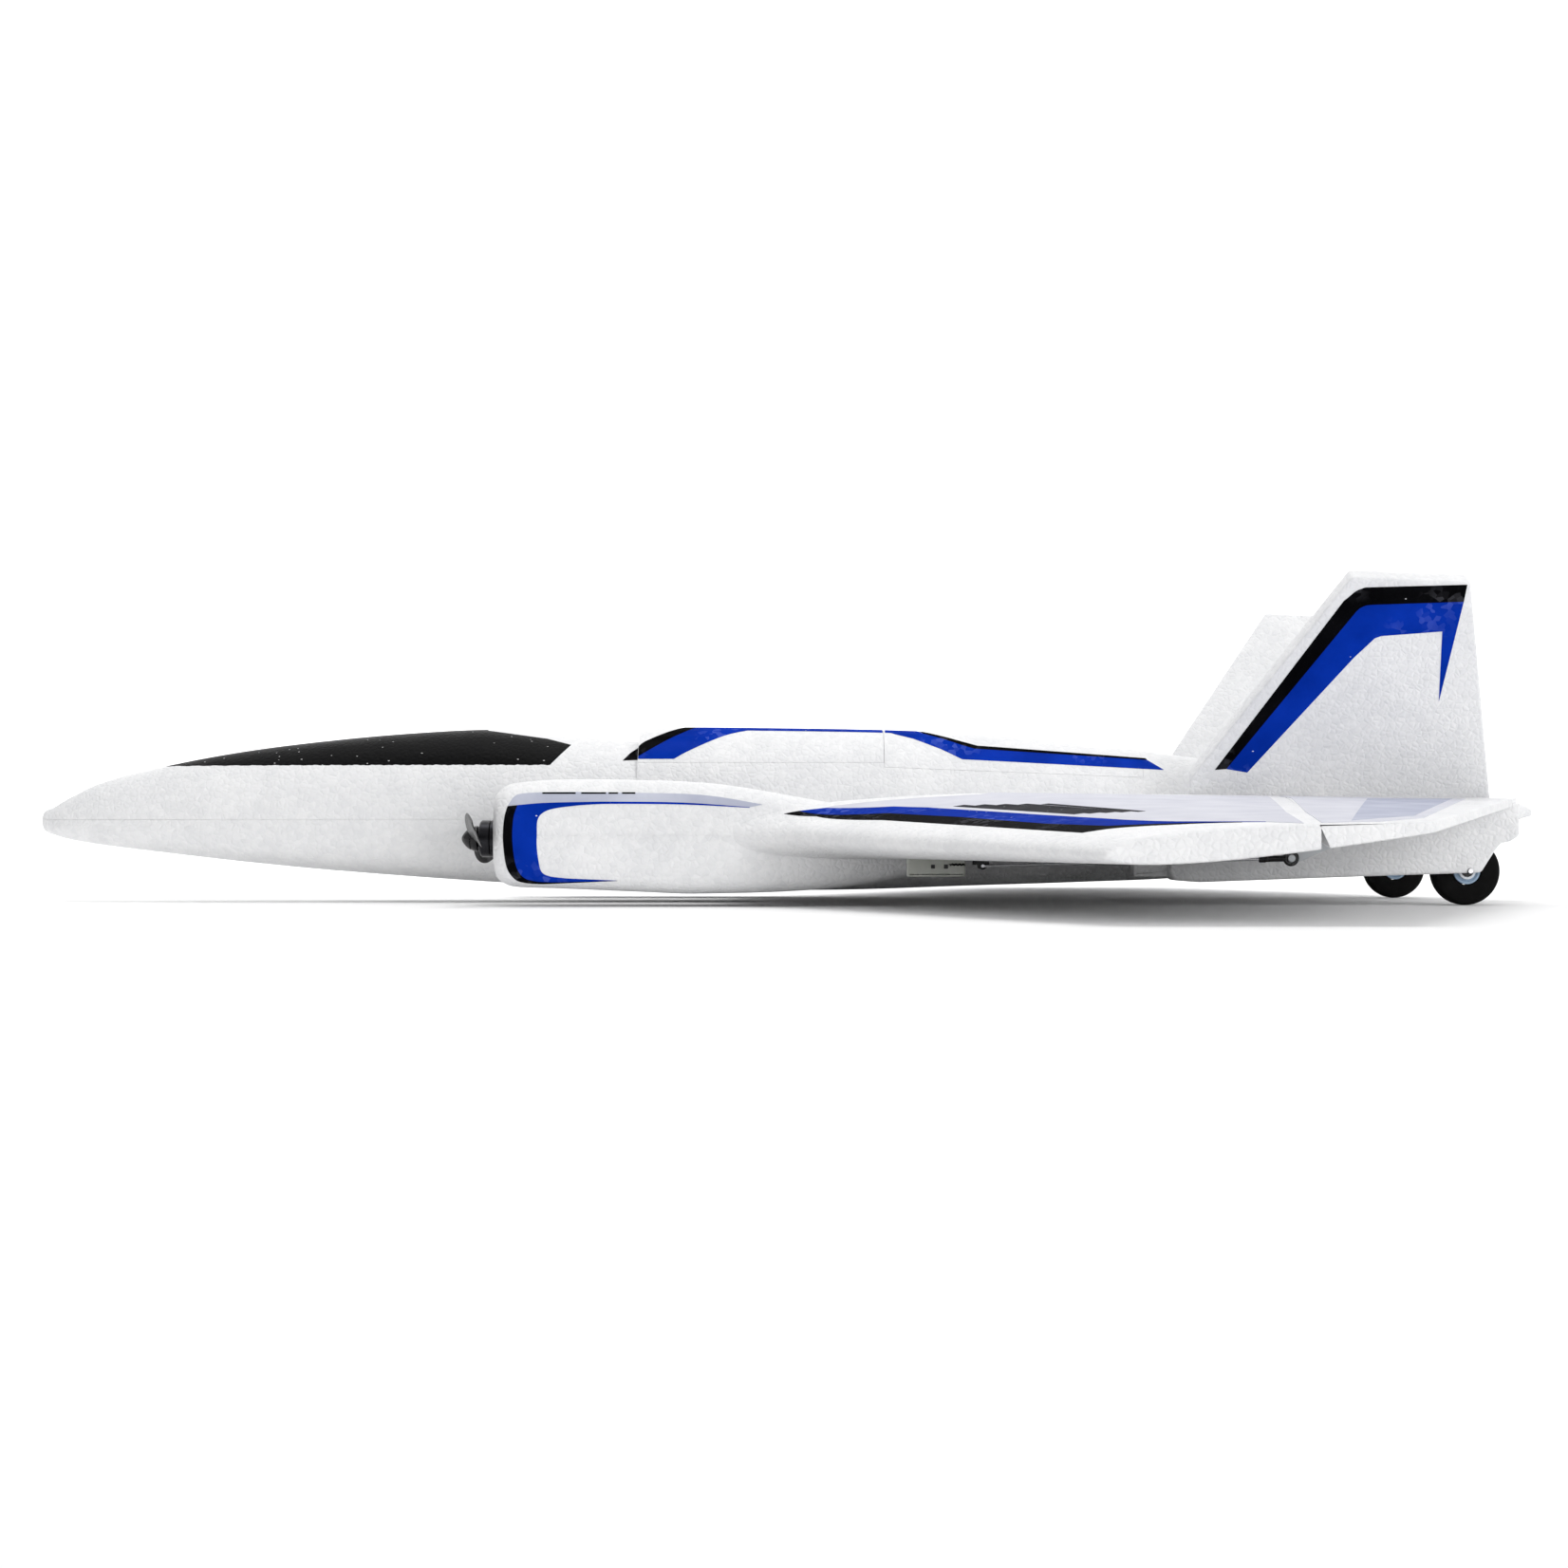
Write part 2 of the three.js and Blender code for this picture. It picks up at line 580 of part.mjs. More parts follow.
// ---- wheels and their pods ----
function wheelPod() {
  const outline = [
    [124.3, 33], [124.3, 10.1], [126, 8.1], [134, 7.5], [187, 9.4], [224.6, 10.6],
    [228.8, 17.2], [231, 20], [234.2, 20.6], [237, 22.6], [237, 33],
  ];
  const nose = block([POD_NOSE_X, POD_INNER_Y + 3, 9.2], [126, POD_OUTER_Y - 3, 33]);
  const box = join(sidePlate(outline, POD_INNER_Y, POD_OUTER_Y, 1), nose);
  const well = block(
    [WHEEL_X - WHEEL_RADIUS - 1.5, WHEEL_Y - WHEEL_WELL / 2, 0],
    [260, WHEEL_Y + WHEEL_WELL / 2, 2 * WHEEL_RADIUS + 1.4],
  );
  const axleHole = rod('y', AXLE_RADIUS + GAP, [WHEEL_X, POD_INNER_Y - 1, WHEEL_RADIUS], 20, 12);
  return cut(box, wingClearance, fuselageClearance, well, axleHole);
}

function wheelAxle() {
  const start = POD_INNER_Y - 0.6;
  return rod('y', AXLE_RADIUS, [WHEEL_X, start, WHEEL_RADIUS], POD_OUTER_Y + 0.6 - start, 12);
}

// The tyre's section is rounded at the tread; both wheel pieces turn about +X here.
function tyre() {
  const half = TYRE_WIDTH / 2;
  const bore = RIM_RADIUS + GAP / 2;
  return turnedAboutX([
    [-half + 0.6, bore], [-half, bore + 0.8], [-half, WHEEL_RADIUS - 2.2], [-half + 1.4, WHEEL_RADIUS - 0.4],
    [0, WHEEL_RADIUS], [half - 1.4, WHEEL_RADIUS - 0.4], [half, WHEEL_RADIUS - 2.2], [half, bore + 0.8],
    [half - 0.6, bore], [-half + 0.6, bore],
  ], 32);
}

function wheelHub() {
  const half = TYRE_WIDTH / 2;
  const rim = RIM_RADIUS - GAP / 2;
  const bore = AXLE_RADIUS + 0.08;
  return turnedAboutX([
    [-half, bore], [-half, 1.9], [-half + 1, 2.2], [-half + 1, 3.3], [-half + 0.3, 3.7], [-half + 0.3, rim],
    [half - 0.3, rim], [half - 0.3, 3.7], [half - 1, 3.3], [half - 1, 2.2], [half, 1.9], [half, bore],
    [-half, bore],
  ], 24);
}

// ---- elevon drive ----
const hornHole = new THREE.Vector3(hingeX(ROD_Y), ROD_Y, HORN_HOLE_Z);
const armHole = new THREE.Vector3(SERVO_SHAFT_X, ROD_Y, SERVO_SHAFT_Z - SERVO_ARM);

function controlHorn() {
  const low = ROD_Y - 0.8 - GAP - HORN_THICKNESS;
  const tip = [hornHole.x, HORN_HOLE_Z];
  const plate = sidePlate([
    [tip[0] - 1.9, tip[1] + 0.8], [tip[0] - 1.2, tip[1] - 1.6], [tip[0] + 1.2, tip[1] - 1.7],
    [tip[0] + 17, 20.5], [tip[0] + 17, 26], [tip[0] + 6.4, 26], [tip[0] + 5.6, 19.4],
  ], low, low + HORN_THICKNESS);
  const pin = rod('y', 1.05, [tip[0], low + 0.5, tip[1]], 3.6, 12);
  return join(cut(plate, wingClearance), pin);
}

function pushrodEye() {
  const thickness = 1.6;
  const ring = rod('y', 2.4, [hornHole.x, ROD_Y - thickness / 2, hornHole.z], thickness, 20);
  const direction = armHole.clone().sub(hornHole).normalize();
  const neck = new THREE.CylinderGeometry(0.95, 1.1, 8, 12);
  neck.applyQuaternion(new THREE.Quaternion().setFromUnitVectors(new THREE.Vector3(0, 1, 0), direction));
  neck.translate(...hornHole.clone().addScaledVector(direction, 5.6).toArray());
  const wireHole = neckBore(direction, 5, 12);
  const eyeHole = rod('y', 1.3, [hornHole.x, ROD_Y - 3, hornHole.z], 6, 16);
  return cut(join(ring, neck), eyeHole, wireHole);
}

// The hole in the eye's neck that the wire is pushed into.
function neckBore(direction, from, to) {
  const bore = new THREE.CylinderGeometry(ROD_RADIUS + 0.2, ROD_RADIUS + 0.2, to - from, 8);
  bore.applyQuaternion(new THREE.Quaternion().setFromUnitVectors(new THREE.Vector3(0, 1, 0), direction));
  return bore.translate(...hornHole.clone().addScaledVector(direction, (from + to) / 2).toArray());
}

function pushrodWire() {
  const direction = armHole.clone().sub(hornHole).normalize();
  const start = hornHole.clone().addScaledVector(direction, 5.4);
  const length = start.distanceTo(armHole);
  const wire = new THREE.CylinderGeometry(ROD_RADIUS, ROD_RADIUS, length, 8);
  wire.applyQuaternion(new THREE.Quaternion().setFromUnitVectors(new THREE.Vector3(0, 1, 0), direction));
  wire.translate(...start.clone().add(armHole).multiplyScalar(0.5).toArray());
  const bentEnd = rod('y', ROD_RADIUS, [armHole.x, ROD_Y - BENT_END, armHole.z], BENT_END + ROD_RADIUS, 8);
  return join(wire, bentEnd);
}

// The case with its gear head, widened all round by a margin.
function servoCase(margin) {
  const [low, high] = [SERVO_INNER_Y - margin, SERVO_OUTER_Y + margin];
  const body = block([SERVO_FRONT_X - margin, low, 10 - margin], [SERVO_REAR_X + margin, high, 22 + margin]);
  const head = block([SERVO_REAR_X - 1 - margin, low, 15.8 - margin], [65 + margin, high, 24 + margin]);
  return join(body, head);
}

function servoArm() {
  const low = SERVO_OUTER_Y + GAP;
  const high = low + ARM_THICKNESS;
  const [x, z] = [SERVO_SHAFT_X, SERVO_SHAFT_Z];
  const plate = sidePlate([
    [x - 2.2, z], [x - 1.5, z - SERVO_ARM - 1], [x, z - SERVO_ARM - 1.6], [x + 1.5, z - SERVO_ARM - 1],
    [x + 2.2, z], [x + 1.4, z + 1.9], [x - 1.4, z + 1.9],
  ], low, high);
  const hub = rod('y', 2.4, [x, low, z], high - low + 0.7, 16);
  return cut(join(plate, hub), rod('y', 0.8, [x, ROD_Y - 4, z - SERVO_ARM], 8, 10));
}

// ---- what the fuselage holds ----
const TRAY_Z = 16;
const BATTERY = { front: -44, rear: 24, half: 14, low: 18.3, high: 35.3 };
const STRAP_X = [-16, -4];

function batteryTray() {
  return block([-62, -13, TRAY_Z], [40, 13, TRAY_Z + 2]);
}

function battery() {
  return block([BATTERY.front, -BATTERY.half, BATTERY.low], [BATTERY.rear, BATTERY.half, BATTERY.high]);
}

function batteryStrap() {
  const outer = BATTERY.half + GAP + 1;
  const inner = BATTERY.half + GAP;
  const [low, high] = [TRAY_Z - GAP, BATTERY.high + GAP];
  const band = block([STRAP_X[0], -outer, low - 1], [STRAP_X[1], outer, high + 1]);
  return cut(band, block([STRAP_X[0] - 1, -inner, low], [STRAP_X[1] + 1, inner, high]));
}

function receiverBoard() {
  return block([-112, -10, 18], [-78, 10, 24]);
}

function wingSpar() {
  return rod('y', SPAR_RADIUS, [SPAR_X, -SPAR_REACH, SPAR_Z], 2 * SPAR_REACH, 12);
}

// One of the two magnets that hold the hatch, widened by a margin; they face each other across the gap.
function magnet(frontX, margin) {
  return block(
    [frontX - margin, -3 - margin, MAGNET_Z - margin],
    [frontX + MAGNET_DEPTH + margin, 3 + margin, MAGNET_Z + 3 + margin],
  );
}

// ---- assembly ----
const plane = new THREE.Group();

function add(parent, name, geometry, surface, position = [0, 0, 0], rotation = [0, 0, 0]) {
  const mesh = new THREE.Mesh(geometry, surface);
  mesh.name = name;
  mesh.position.set(...position);
  mesh.rotation.set(...rotation);
  parent.add(mesh);
}

function addFuselage() {
  add(plane, 'fuselage_lower_shell', fuselageLowerShell(), FOAM);
  add(plane, 'fuselage_upper_shell', fuselageUpperShell(), FOAM);
  add(plane, 'canopy', canopy(), CANOPY_BLACK);
  add(plane, 'battery_hatch', batteryHatch(), FOAM);
  add(plane, 'spine_cover', spineCover(), FOAM);
  add(plane, 'battery_tray', batteryTray(), PLYWOOD);
  add(plane, 'battery', battery(), BATTERY_WRAP);
  add(plane, 'battery_strap', batteryStrap(), STRAP_FABRIC);
  add(plane, 'receiver_board', receiverBoard(), CIRCUIT_BOARD);
  add(plane, 'wing_spar', wingSpar(), CARBON);
  add(plane, 'hatch_magnet', magnet(HATCH_MAGNET_X, 0), MAGNET);
  add(plane, 'frame_magnet', magnet(FRAME_MAGNET_X, 0), MAGNET);
}

// Both sides share their shapes; the left side is the mirror image of the right.
function addSide(side, sign) {
  const shaped = (geometry) => (sign < 0 ? mirrored(geometry) : geometry);
  const put = (name, geometry, surface) => add(plane, `${side}_${name}`, shaped(geometry), surface);
  put('nacelle', nacelle(), FOAM);
  put('wing', wing(), FOAM);
  put('elevon', elevon(), FOAM);
  put('fin', fin(), FOAM);
  put('wheel_pod', wheelPod(), FOAM);
  put('wheel_axle', wheelAxle(), STEEL);
  put('servo_case', servoCase(0), SERVO_PLASTIC);
  put('servo_arm', servoArm(), BLACK_PLASTIC);
  put('control_horn', controlHorn(), PALE_PLASTIC);
  put('pushrod_eye', pushrodEye(), BLACK_PLASTIC);
  put('pushrod_wire', pushrodWire(), STEEL);

  const power = new THREE.Group();
  power.position.set(0, sign * NACELLE_Y, THRUST_Z);
  plane.add(power);
  const turn = [sign * PROP_REST_TURN, 0, 0];
  add(power, `${side}_motor_can`, motorCan(), MOTOR_METAL);
  add(power, `${side}_motor_mount`, motorMount(), BLACK_PLASTIC);
  add(power, `${side}_speed_controller`, speedController(), CIRCUIT_BOARD);
  add(power, `${side}_motor_shaft`, motorShaft(), STEEL);
  add(power, `${side}_propeller`, shaped(propeller()), BLACK_PLASTIC, [0, 0, 0], turn);
  add(power, `${side}_spinner_cap`, spinnerCap(), BLACK_PLASTIC);

  const wheel = new THREE.Group();
  wheel.position.set(WHEEL_X, sign * WHEEL_Y, WHEEL_RADIUS);
  wheel.rotation.z = Math.PI / 2;
  plane.add(wheel);
  add(wheel, `${side}_tyre`, tyre(), TYRE_RUBBER);
  add(wheel, `${side}_wheel_hub`, wheelHub(), HUB_PLASTIC);
}

addFuselage();
addSide('right', 1);
addSide('left', -1);

export default plane;
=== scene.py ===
"""A small twin-motor foam jet for radio control: its looks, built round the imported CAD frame.

Shapes are set out in millimetres, nose along -X, right wing along +Y and up along +Z,
and become metres when a mesh is made.
"""
import math

import bmesh
import bpy
from mathutils import Matrix, Vector
from mathutils.geometry import tessellate_polygon


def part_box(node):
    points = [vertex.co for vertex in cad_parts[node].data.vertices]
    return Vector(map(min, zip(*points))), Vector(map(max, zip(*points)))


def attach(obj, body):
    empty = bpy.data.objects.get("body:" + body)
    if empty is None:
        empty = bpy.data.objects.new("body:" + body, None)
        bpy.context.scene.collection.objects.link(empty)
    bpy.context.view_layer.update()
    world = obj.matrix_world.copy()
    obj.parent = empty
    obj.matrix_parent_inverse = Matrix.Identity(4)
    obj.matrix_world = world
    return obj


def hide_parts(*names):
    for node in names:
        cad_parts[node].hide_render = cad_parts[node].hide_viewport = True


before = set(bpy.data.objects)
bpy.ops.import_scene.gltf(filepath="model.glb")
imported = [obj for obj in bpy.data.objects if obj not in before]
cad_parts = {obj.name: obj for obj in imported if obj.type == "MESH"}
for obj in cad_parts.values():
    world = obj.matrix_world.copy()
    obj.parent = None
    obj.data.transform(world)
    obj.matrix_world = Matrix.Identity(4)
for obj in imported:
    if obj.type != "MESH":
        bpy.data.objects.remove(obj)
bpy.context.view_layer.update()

# ---- driving dimensions, in millimetres ----
MM = 0.001
SEAM = 0.06  # the hairline between two foam mouldings
FIT = 0.2  # room round a fitted part
FAR = 400
AXIS = 0.01  # radius at which a turned profile closes on its axis

NOSE_X = -256
TAIL_X = 256
PARTING_Z = 28
TAIL_EDGE_HEIGHT = 1.4
SHELL_WALL = 4.5
CAVITY_FRONT_X = -205
CAVITY_REAR_X = 205
HATCH_LEDGE = 5.6  # how far the shell reaches under the front of the hatch
HATCH_FRONT_X = -49.5
HATCH_REAR_X = 33.4
LID_GAP = 0.15
HATCH = {"front_x": HATCH_FRONT_X, "rear_x": HATCH_REAR_X, "front_z": 47.2, "rear_z": 47.2}
COVER = {"front_x": HATCH_REAR_X + LID_GAP, "rear_x": 121, "front_z": 45.6, "rear_z": 42.2}
CANOPY_FRONT_X = -226
CANOPY_EDGE_Z = 46.4
OVER_ALL_Z = 70  # above the fuselage anywhere
SECTION_TOP_POWER = 2.3
SECTION_BELLY_POWER = 2.7

HALF_SPAN = 250
WING_START_Y = 9
ROOT_Y = 45
LE_SET_Y = 75
TIP_ROUND = 1.6
TIP_FLATNESS = 0.35
ROOT_FAIRING = 20
ROOT_FAIRING_FADE = 8
WING_TE_THICKNESS = 2.6
WING_THICKEST = 0.35
ELEVON_ROOT_Y = 61.3
ELEVON_END_GAP = 0.9
ELEVON_ROOT_SLANT = 0.022
ELEVON_BEVEL = math.radians(25)
HINGE_GAP = 0.3
HINGE_DEPTH = 0.3
RIB_PITCH = 4.5
RIB_DEPTH = 0.4

FIN_BASE_Y = 38
FIN_BASE_Z = 36
FIN_CANT = math.radians(29.5)
FIN_THICKNESS = 6

NACELLE_Y = 60
NACELLE_FRONT_X = -91
NACELLE_REAR_X = 68
NACELLE_POWER = 0.45
THRUST_Z = 21.5
MOTOR_RADIUS = 5.9
MOTOR_FRONT_X = -96.9
MOTOR_REAR_X = -78
VENT_RING_RADIUS = 3.3
VENT_RADIUS = 0.8
MOUNT_INNER_RADIUS = 6.2
MOUNT_OUTER_RADIUS = 7.6
MOUNT_FRONT_X = -90
MOUNT_REAR_X = -76
SHAFT_RADIUS = 0.75
HUB_RADIUS = 4.1
HUB_FRONT_X = -99.6
HUB_REAR_X = -97.4
SPINNER_TIP_X = -102.8
SPINNER_BASE_RADIUS = 3.6
PROP_RADIUS = 28
PROP_REST_TURN = math.radians(8)
BLADE_RAKE = 0.16
BLADE_ADVANCE = 9  # sets the twist from hub to tip

WHEEL_X = 221
WHEEL_Y = 50.5
WHEEL_RADIUS = 11.1
TYRE_WIDTH = 7
TYRE_ROUND = 2.4
RIM_RADIUS = 4.4
AXLE_RADIUS = 0.75
POD_INNER_Y = 43
POD_OUTER_Y = 58
POD_NOSE_X = 113
WHEEL_WELL = 9.2

SPAR_X = 78
SPAR_Z = 22
SPAR_RADIUS = 1.5
SPAR_REACH = 150
ROD_Y = 112
ROD_RADIUS = 0.5
HORN_HOLE_Z = 15.6
HORN_THICKNESS = 1.2
HORN_INNER_Y = 109.7
SERVO_FRONT_X = 38.5
SERVO_REAR_X = 56
SERVO_SHAFT_X = 61
SERVO_SHAFT_Z = 20.3
SERVO_ARM = 7
SERVO_INNER_Y = 100.5
SERVO_OUTER_Y = 109
SERVO_BOTTOM_Z = 10
SERVO_TOP_Z = 22
SERVO_HEAD_REAR_X = 65
SERVO_HEAD_TOP_Z = 24

BEAD = 1.9  # size of the foam's beads
FILM_LIFT = 0.12  # top of a printed film above the foam


# ---- curves and outlines ----
def through(points):
    """A smooth curve through given (x, value) points."""

    def slope(i):
        before = points[max(i - 1, 0)]
        after = points[min(i + 1, len(points) - 1)]
        return (after[1] - before[1]) / (after[0] - before[0])

    def value(x):
        i = 0
        while i < len(points) - 2 and x > points[i + 1][0]:
            i += 1
        width = points[i + 1][0] - points[i][0]
        t = min(max((x - points[i][0]) / width, 0), 1)
        step = points[i + 1][1] - points[i][1]
        swing = (1 - t) * slope(i) - t * slope(i + 1)
        return points[i][1] + step * t * t * (3 - 2 * t) + width * t * (1 - t) * swing

    return value


def spread(start, end, count):
    """Evenly spaced values, both ends included."""
    return [start + (end - start) * i / (count - 1) for i in range(count)]


def signed_power(value, power):
    return math.copysign(abs(value) ** power, value)


def bend(points, steps=5):
    """A smooth open line through 2-D points, as a Catmull-Rom curve."""
    smooth = []
    for i in range(len(points) - 1):
        a = Vector(points[max(i - 1, 0)])
        b = Vector(points[i])
        c = Vector(points[i + 1])
        d = Vector(points[min(i + 2, len(points) - 1)])
        for j in range(steps):
            t = j / steps
            even = 2 * a - 5 * b + 4 * c - d
            cubic = 3 * b - a - 3 * c + d
            smooth.append(0.5 * (2 * b + (c - a) * t + even * t ** 2 + cubic * t ** 3))
    smooth.append(Vector(points[-1]))
    return smooth


def inset_outline(outline, amount):
    """The outline moved inwards by the same amount all round."""
    area = 0
    for a, b in zip(outline, outline[1:] + outline[:1]):
        area += a[0] * b[1] - b[0] * a[1]
    turn = math.copysign(1, area)
    moved = []
    for i, point in enumerate(outline):
        before = (Vector(point) - Vector(outline[i - 1])).normalized()
        after = (Vector(outline[(i + 1) % len(outline)]) - Vector(point)).normalized()
        inward = Vector((-before.y - after.y, before.x + after.x)) * turn
        inward /= max(1 + before.dot(after), 0.3)
        moved.append(Vector(point) + inward * amount)
    return moved


# ---- meshes ----
def new_object(name, data):
    made = bpy.data.objects.new(name, data)
    bpy.context.scene.collection.objects.link(made)
    return made


def make(name, points, faces):
    """A mesh object from points in millimetres, with its faces pointing out."""
    mesh = bpy.data.meshes.new(name)
    mesh.from_pydata([Vector(point) * MM for point in points], [], faces)
    shape = bmesh.new()
    shape.from_mesh(mesh)
    bmesh.ops.recalc_face_normals(shape, faces=shape.faces)
    shape.to_mesh(mesh)
    shape.free()
    return new_object(name, mesh)


def loft(name, rings):
    """A closed solid through rings of points."""
    count = len(rings[0])
    faces = []
    for i in range(len(rings) - 1):
        for j in range(count):
            a = i * count + j
            b = i * count + (j + 1) % count
            faces.append((a, b, b + count, a + count))
    faces.append(tuple(range(count)))
    last = (len(rings) - 1) * count
    faces.append(tuple(range(last, last + count)))
    return make(name, [point for ring in rings for point in ring], faces)


def turned(name, profile, sides, place, hollow=False):
    """A turned piece; place maps (along, a, b) to a point."""
    points = []
    for i in range(sides):
        angle = 2 * math.pi * i / sides
        across, up = math.cos(angle), math.sin(angle)
        points += [place(along, radius * across, radius * up) for along, radius in profile]
    count = len(profile)
    faces = []
    for i in range(sides):
        here, following = i * count, (i + 1) % sides * count
        for j in range(count if hollow else count - 1):
            k = (j + 1) % count
            faces.append((here + j, following + j, following + k, here + k))
    if not hollow:
        for end in (0, count - 1):
            faces.append(tuple(i * count + end for i in range(sides)))
    return make(name, points, faces)


def ring_solid(name, profile, sides, place):
    """A turned piece whose profile is a closed loop round a hole."""
    return turned(name, profile, sides, place, hollow=True)


def plate(name, outline, low, high, rounding, place, arc=4):
    """A plate with rounded rims; place maps (u, v, thickness) to a point."""
    rims = [(low, rounding + 0.4)]
    for i in range(arc + 1):
        angle = math.pi / 2 * i / arc
        rims.append((low + rounding * (1 - math.cos(angle)), rounding * (1 - math.sin(angle))))
    rims += [(high + low - level, inset) for level, inset in reversed(rims)]
    rings = []
    for level, inset in rims:
        rings.append([place(u, v, level) for u, v in inset_outline(outline, inset)])
    return loft(name, rings)


def seen_from_side(u, v, thickness):
    """A side-view outline with its thickness running across the plane."""
    return (u, thickness, v)


def box_piece(name, low, high, rounding=0.0):
    """A block with rounded edges between two corners."""
    outline = [(low[0], low[2]), (high[0], low[2]), (high[0], high[2]), (low[0], high[2])]
    if rounding:
        outline = round_corners(outline, rounding)
        return plate(name, outline, low[1], high[1], rounding * 0.8, seen_from_side)
    return loft(name, [[(u, y, v) for u, v in outline] for y in (low[1], high[1])])


def round_corners(outline, radius, steps=4):
    """The outline with each corner replaced by a short arc."""
    smooth = []
    for i, point in enumerate(outline):
        corner = Vector(point)
        before = (Vector(outline[i - 1]) - corner).normalized() * radius
        after = (Vector(outline[(i + 1) % len(outline)]) - corner).normalized() * radius
        for j in range(steps + 1):
            t = j / steps
            smooth.append(corner + before * (1 - t) ** 2 + after * t ** 2)
    return smooth


def round_inner_corners(outline, radius, steps=4):
    """The outline with every corner rounded but the first and the last."""
    rounded = round_corners(outline, radius, steps)
    return outline[:1] + rounded[steps + 1:-steps - 1] + outline[-1:]


def rod(name, start, end, radius, sides=24):
    """A round bar between two points."""
    start, end = Vector(start), Vector(end)
    turn = (end - start).to_track_quat("Z", "Y")
    circle = []
    for i in range(sides):
        angle = 2 * math.pi * i / sides
        circle.append(turn @ Vector((radius * math.cos(angle), radius * math.sin(angle), 0)))
    return loft(name, [[start + point for point in circle], [end + point for point in circle]])


def bar(name, axis, middle, low, high, radius, sides=24):
    """A round bar along one axis; middle holds the other two coordinates."""
    start, end = list(middle), list(middle)
    start.insert("xyz".index(axis), low)
    end.insert("xyz".index(axis), high)
    return rod(name, start, end, radius, sides)


def apply_modifiers(piece):
    solved = piece.evaluated_get(bpy.context.evaluated_depsgraph_get())
    mesh = bpy.data.meshes.new_from_object(solved)
    piece.modifiers.clear()
    piece.data = mesh


def combine(piece, operation, *tools):
    """Cuts, joins or trims a piece by closed tools, which are then used up."""
    for tool in tools:
        step = piece.modifiers.new("shape", "BOOLEAN")
        step.operation = operation
        step.solver = "MANIFOLD"
        step.object = tool
    apply_modifiers(piece)
    for tool in tools:
        bpy.data.objects.remove(tool)
    return piece


def cut(piece, *tools):
    return combine(piece, "DIFFERENCE", *tools)


def join(piece, *tools):
    return combine(piece, "UNION", *tools)


def common(piece, *tools):
    return combine(piece, "INTERSECT", *tools)


def settle(piece, name, body, material, stands_for=(), crease=32):
    """Names, paints and shades a finished piece, and puts it on its body."""
    piece.name = name
    piece.data.materials.clear()
    piece.data.materials.append(material)
    piece.data.shade_smooth()
    piece.data.set_sharp_from_angle(angle=math.radians(crease))
    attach(piece, body)
    if stands_for:
        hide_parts(*stands_for)


def mirrored(piece):
    """A copy for the left side."""
    twin = new_object("twin", piece.data.copy())
    twin.data.transform(Matrix.Diagonal((1, -1, 1, 1)))
    twin.data.flip_normals()
    return twin


def pair(piece, name, material, body=None, stands_for=(), crease=32):
    """Settles a right-hand piece and its mirror image on the left."""
    for side, half in (("right", piece), ("left", mirrored(piece))):
        riding = f"{side}_{body}" if body else "airframe"
        replaced = [f"{side}_{node}" for node in stands_for]
        settle(half, f"{side}_{name}", riding, material, replaced, crease)


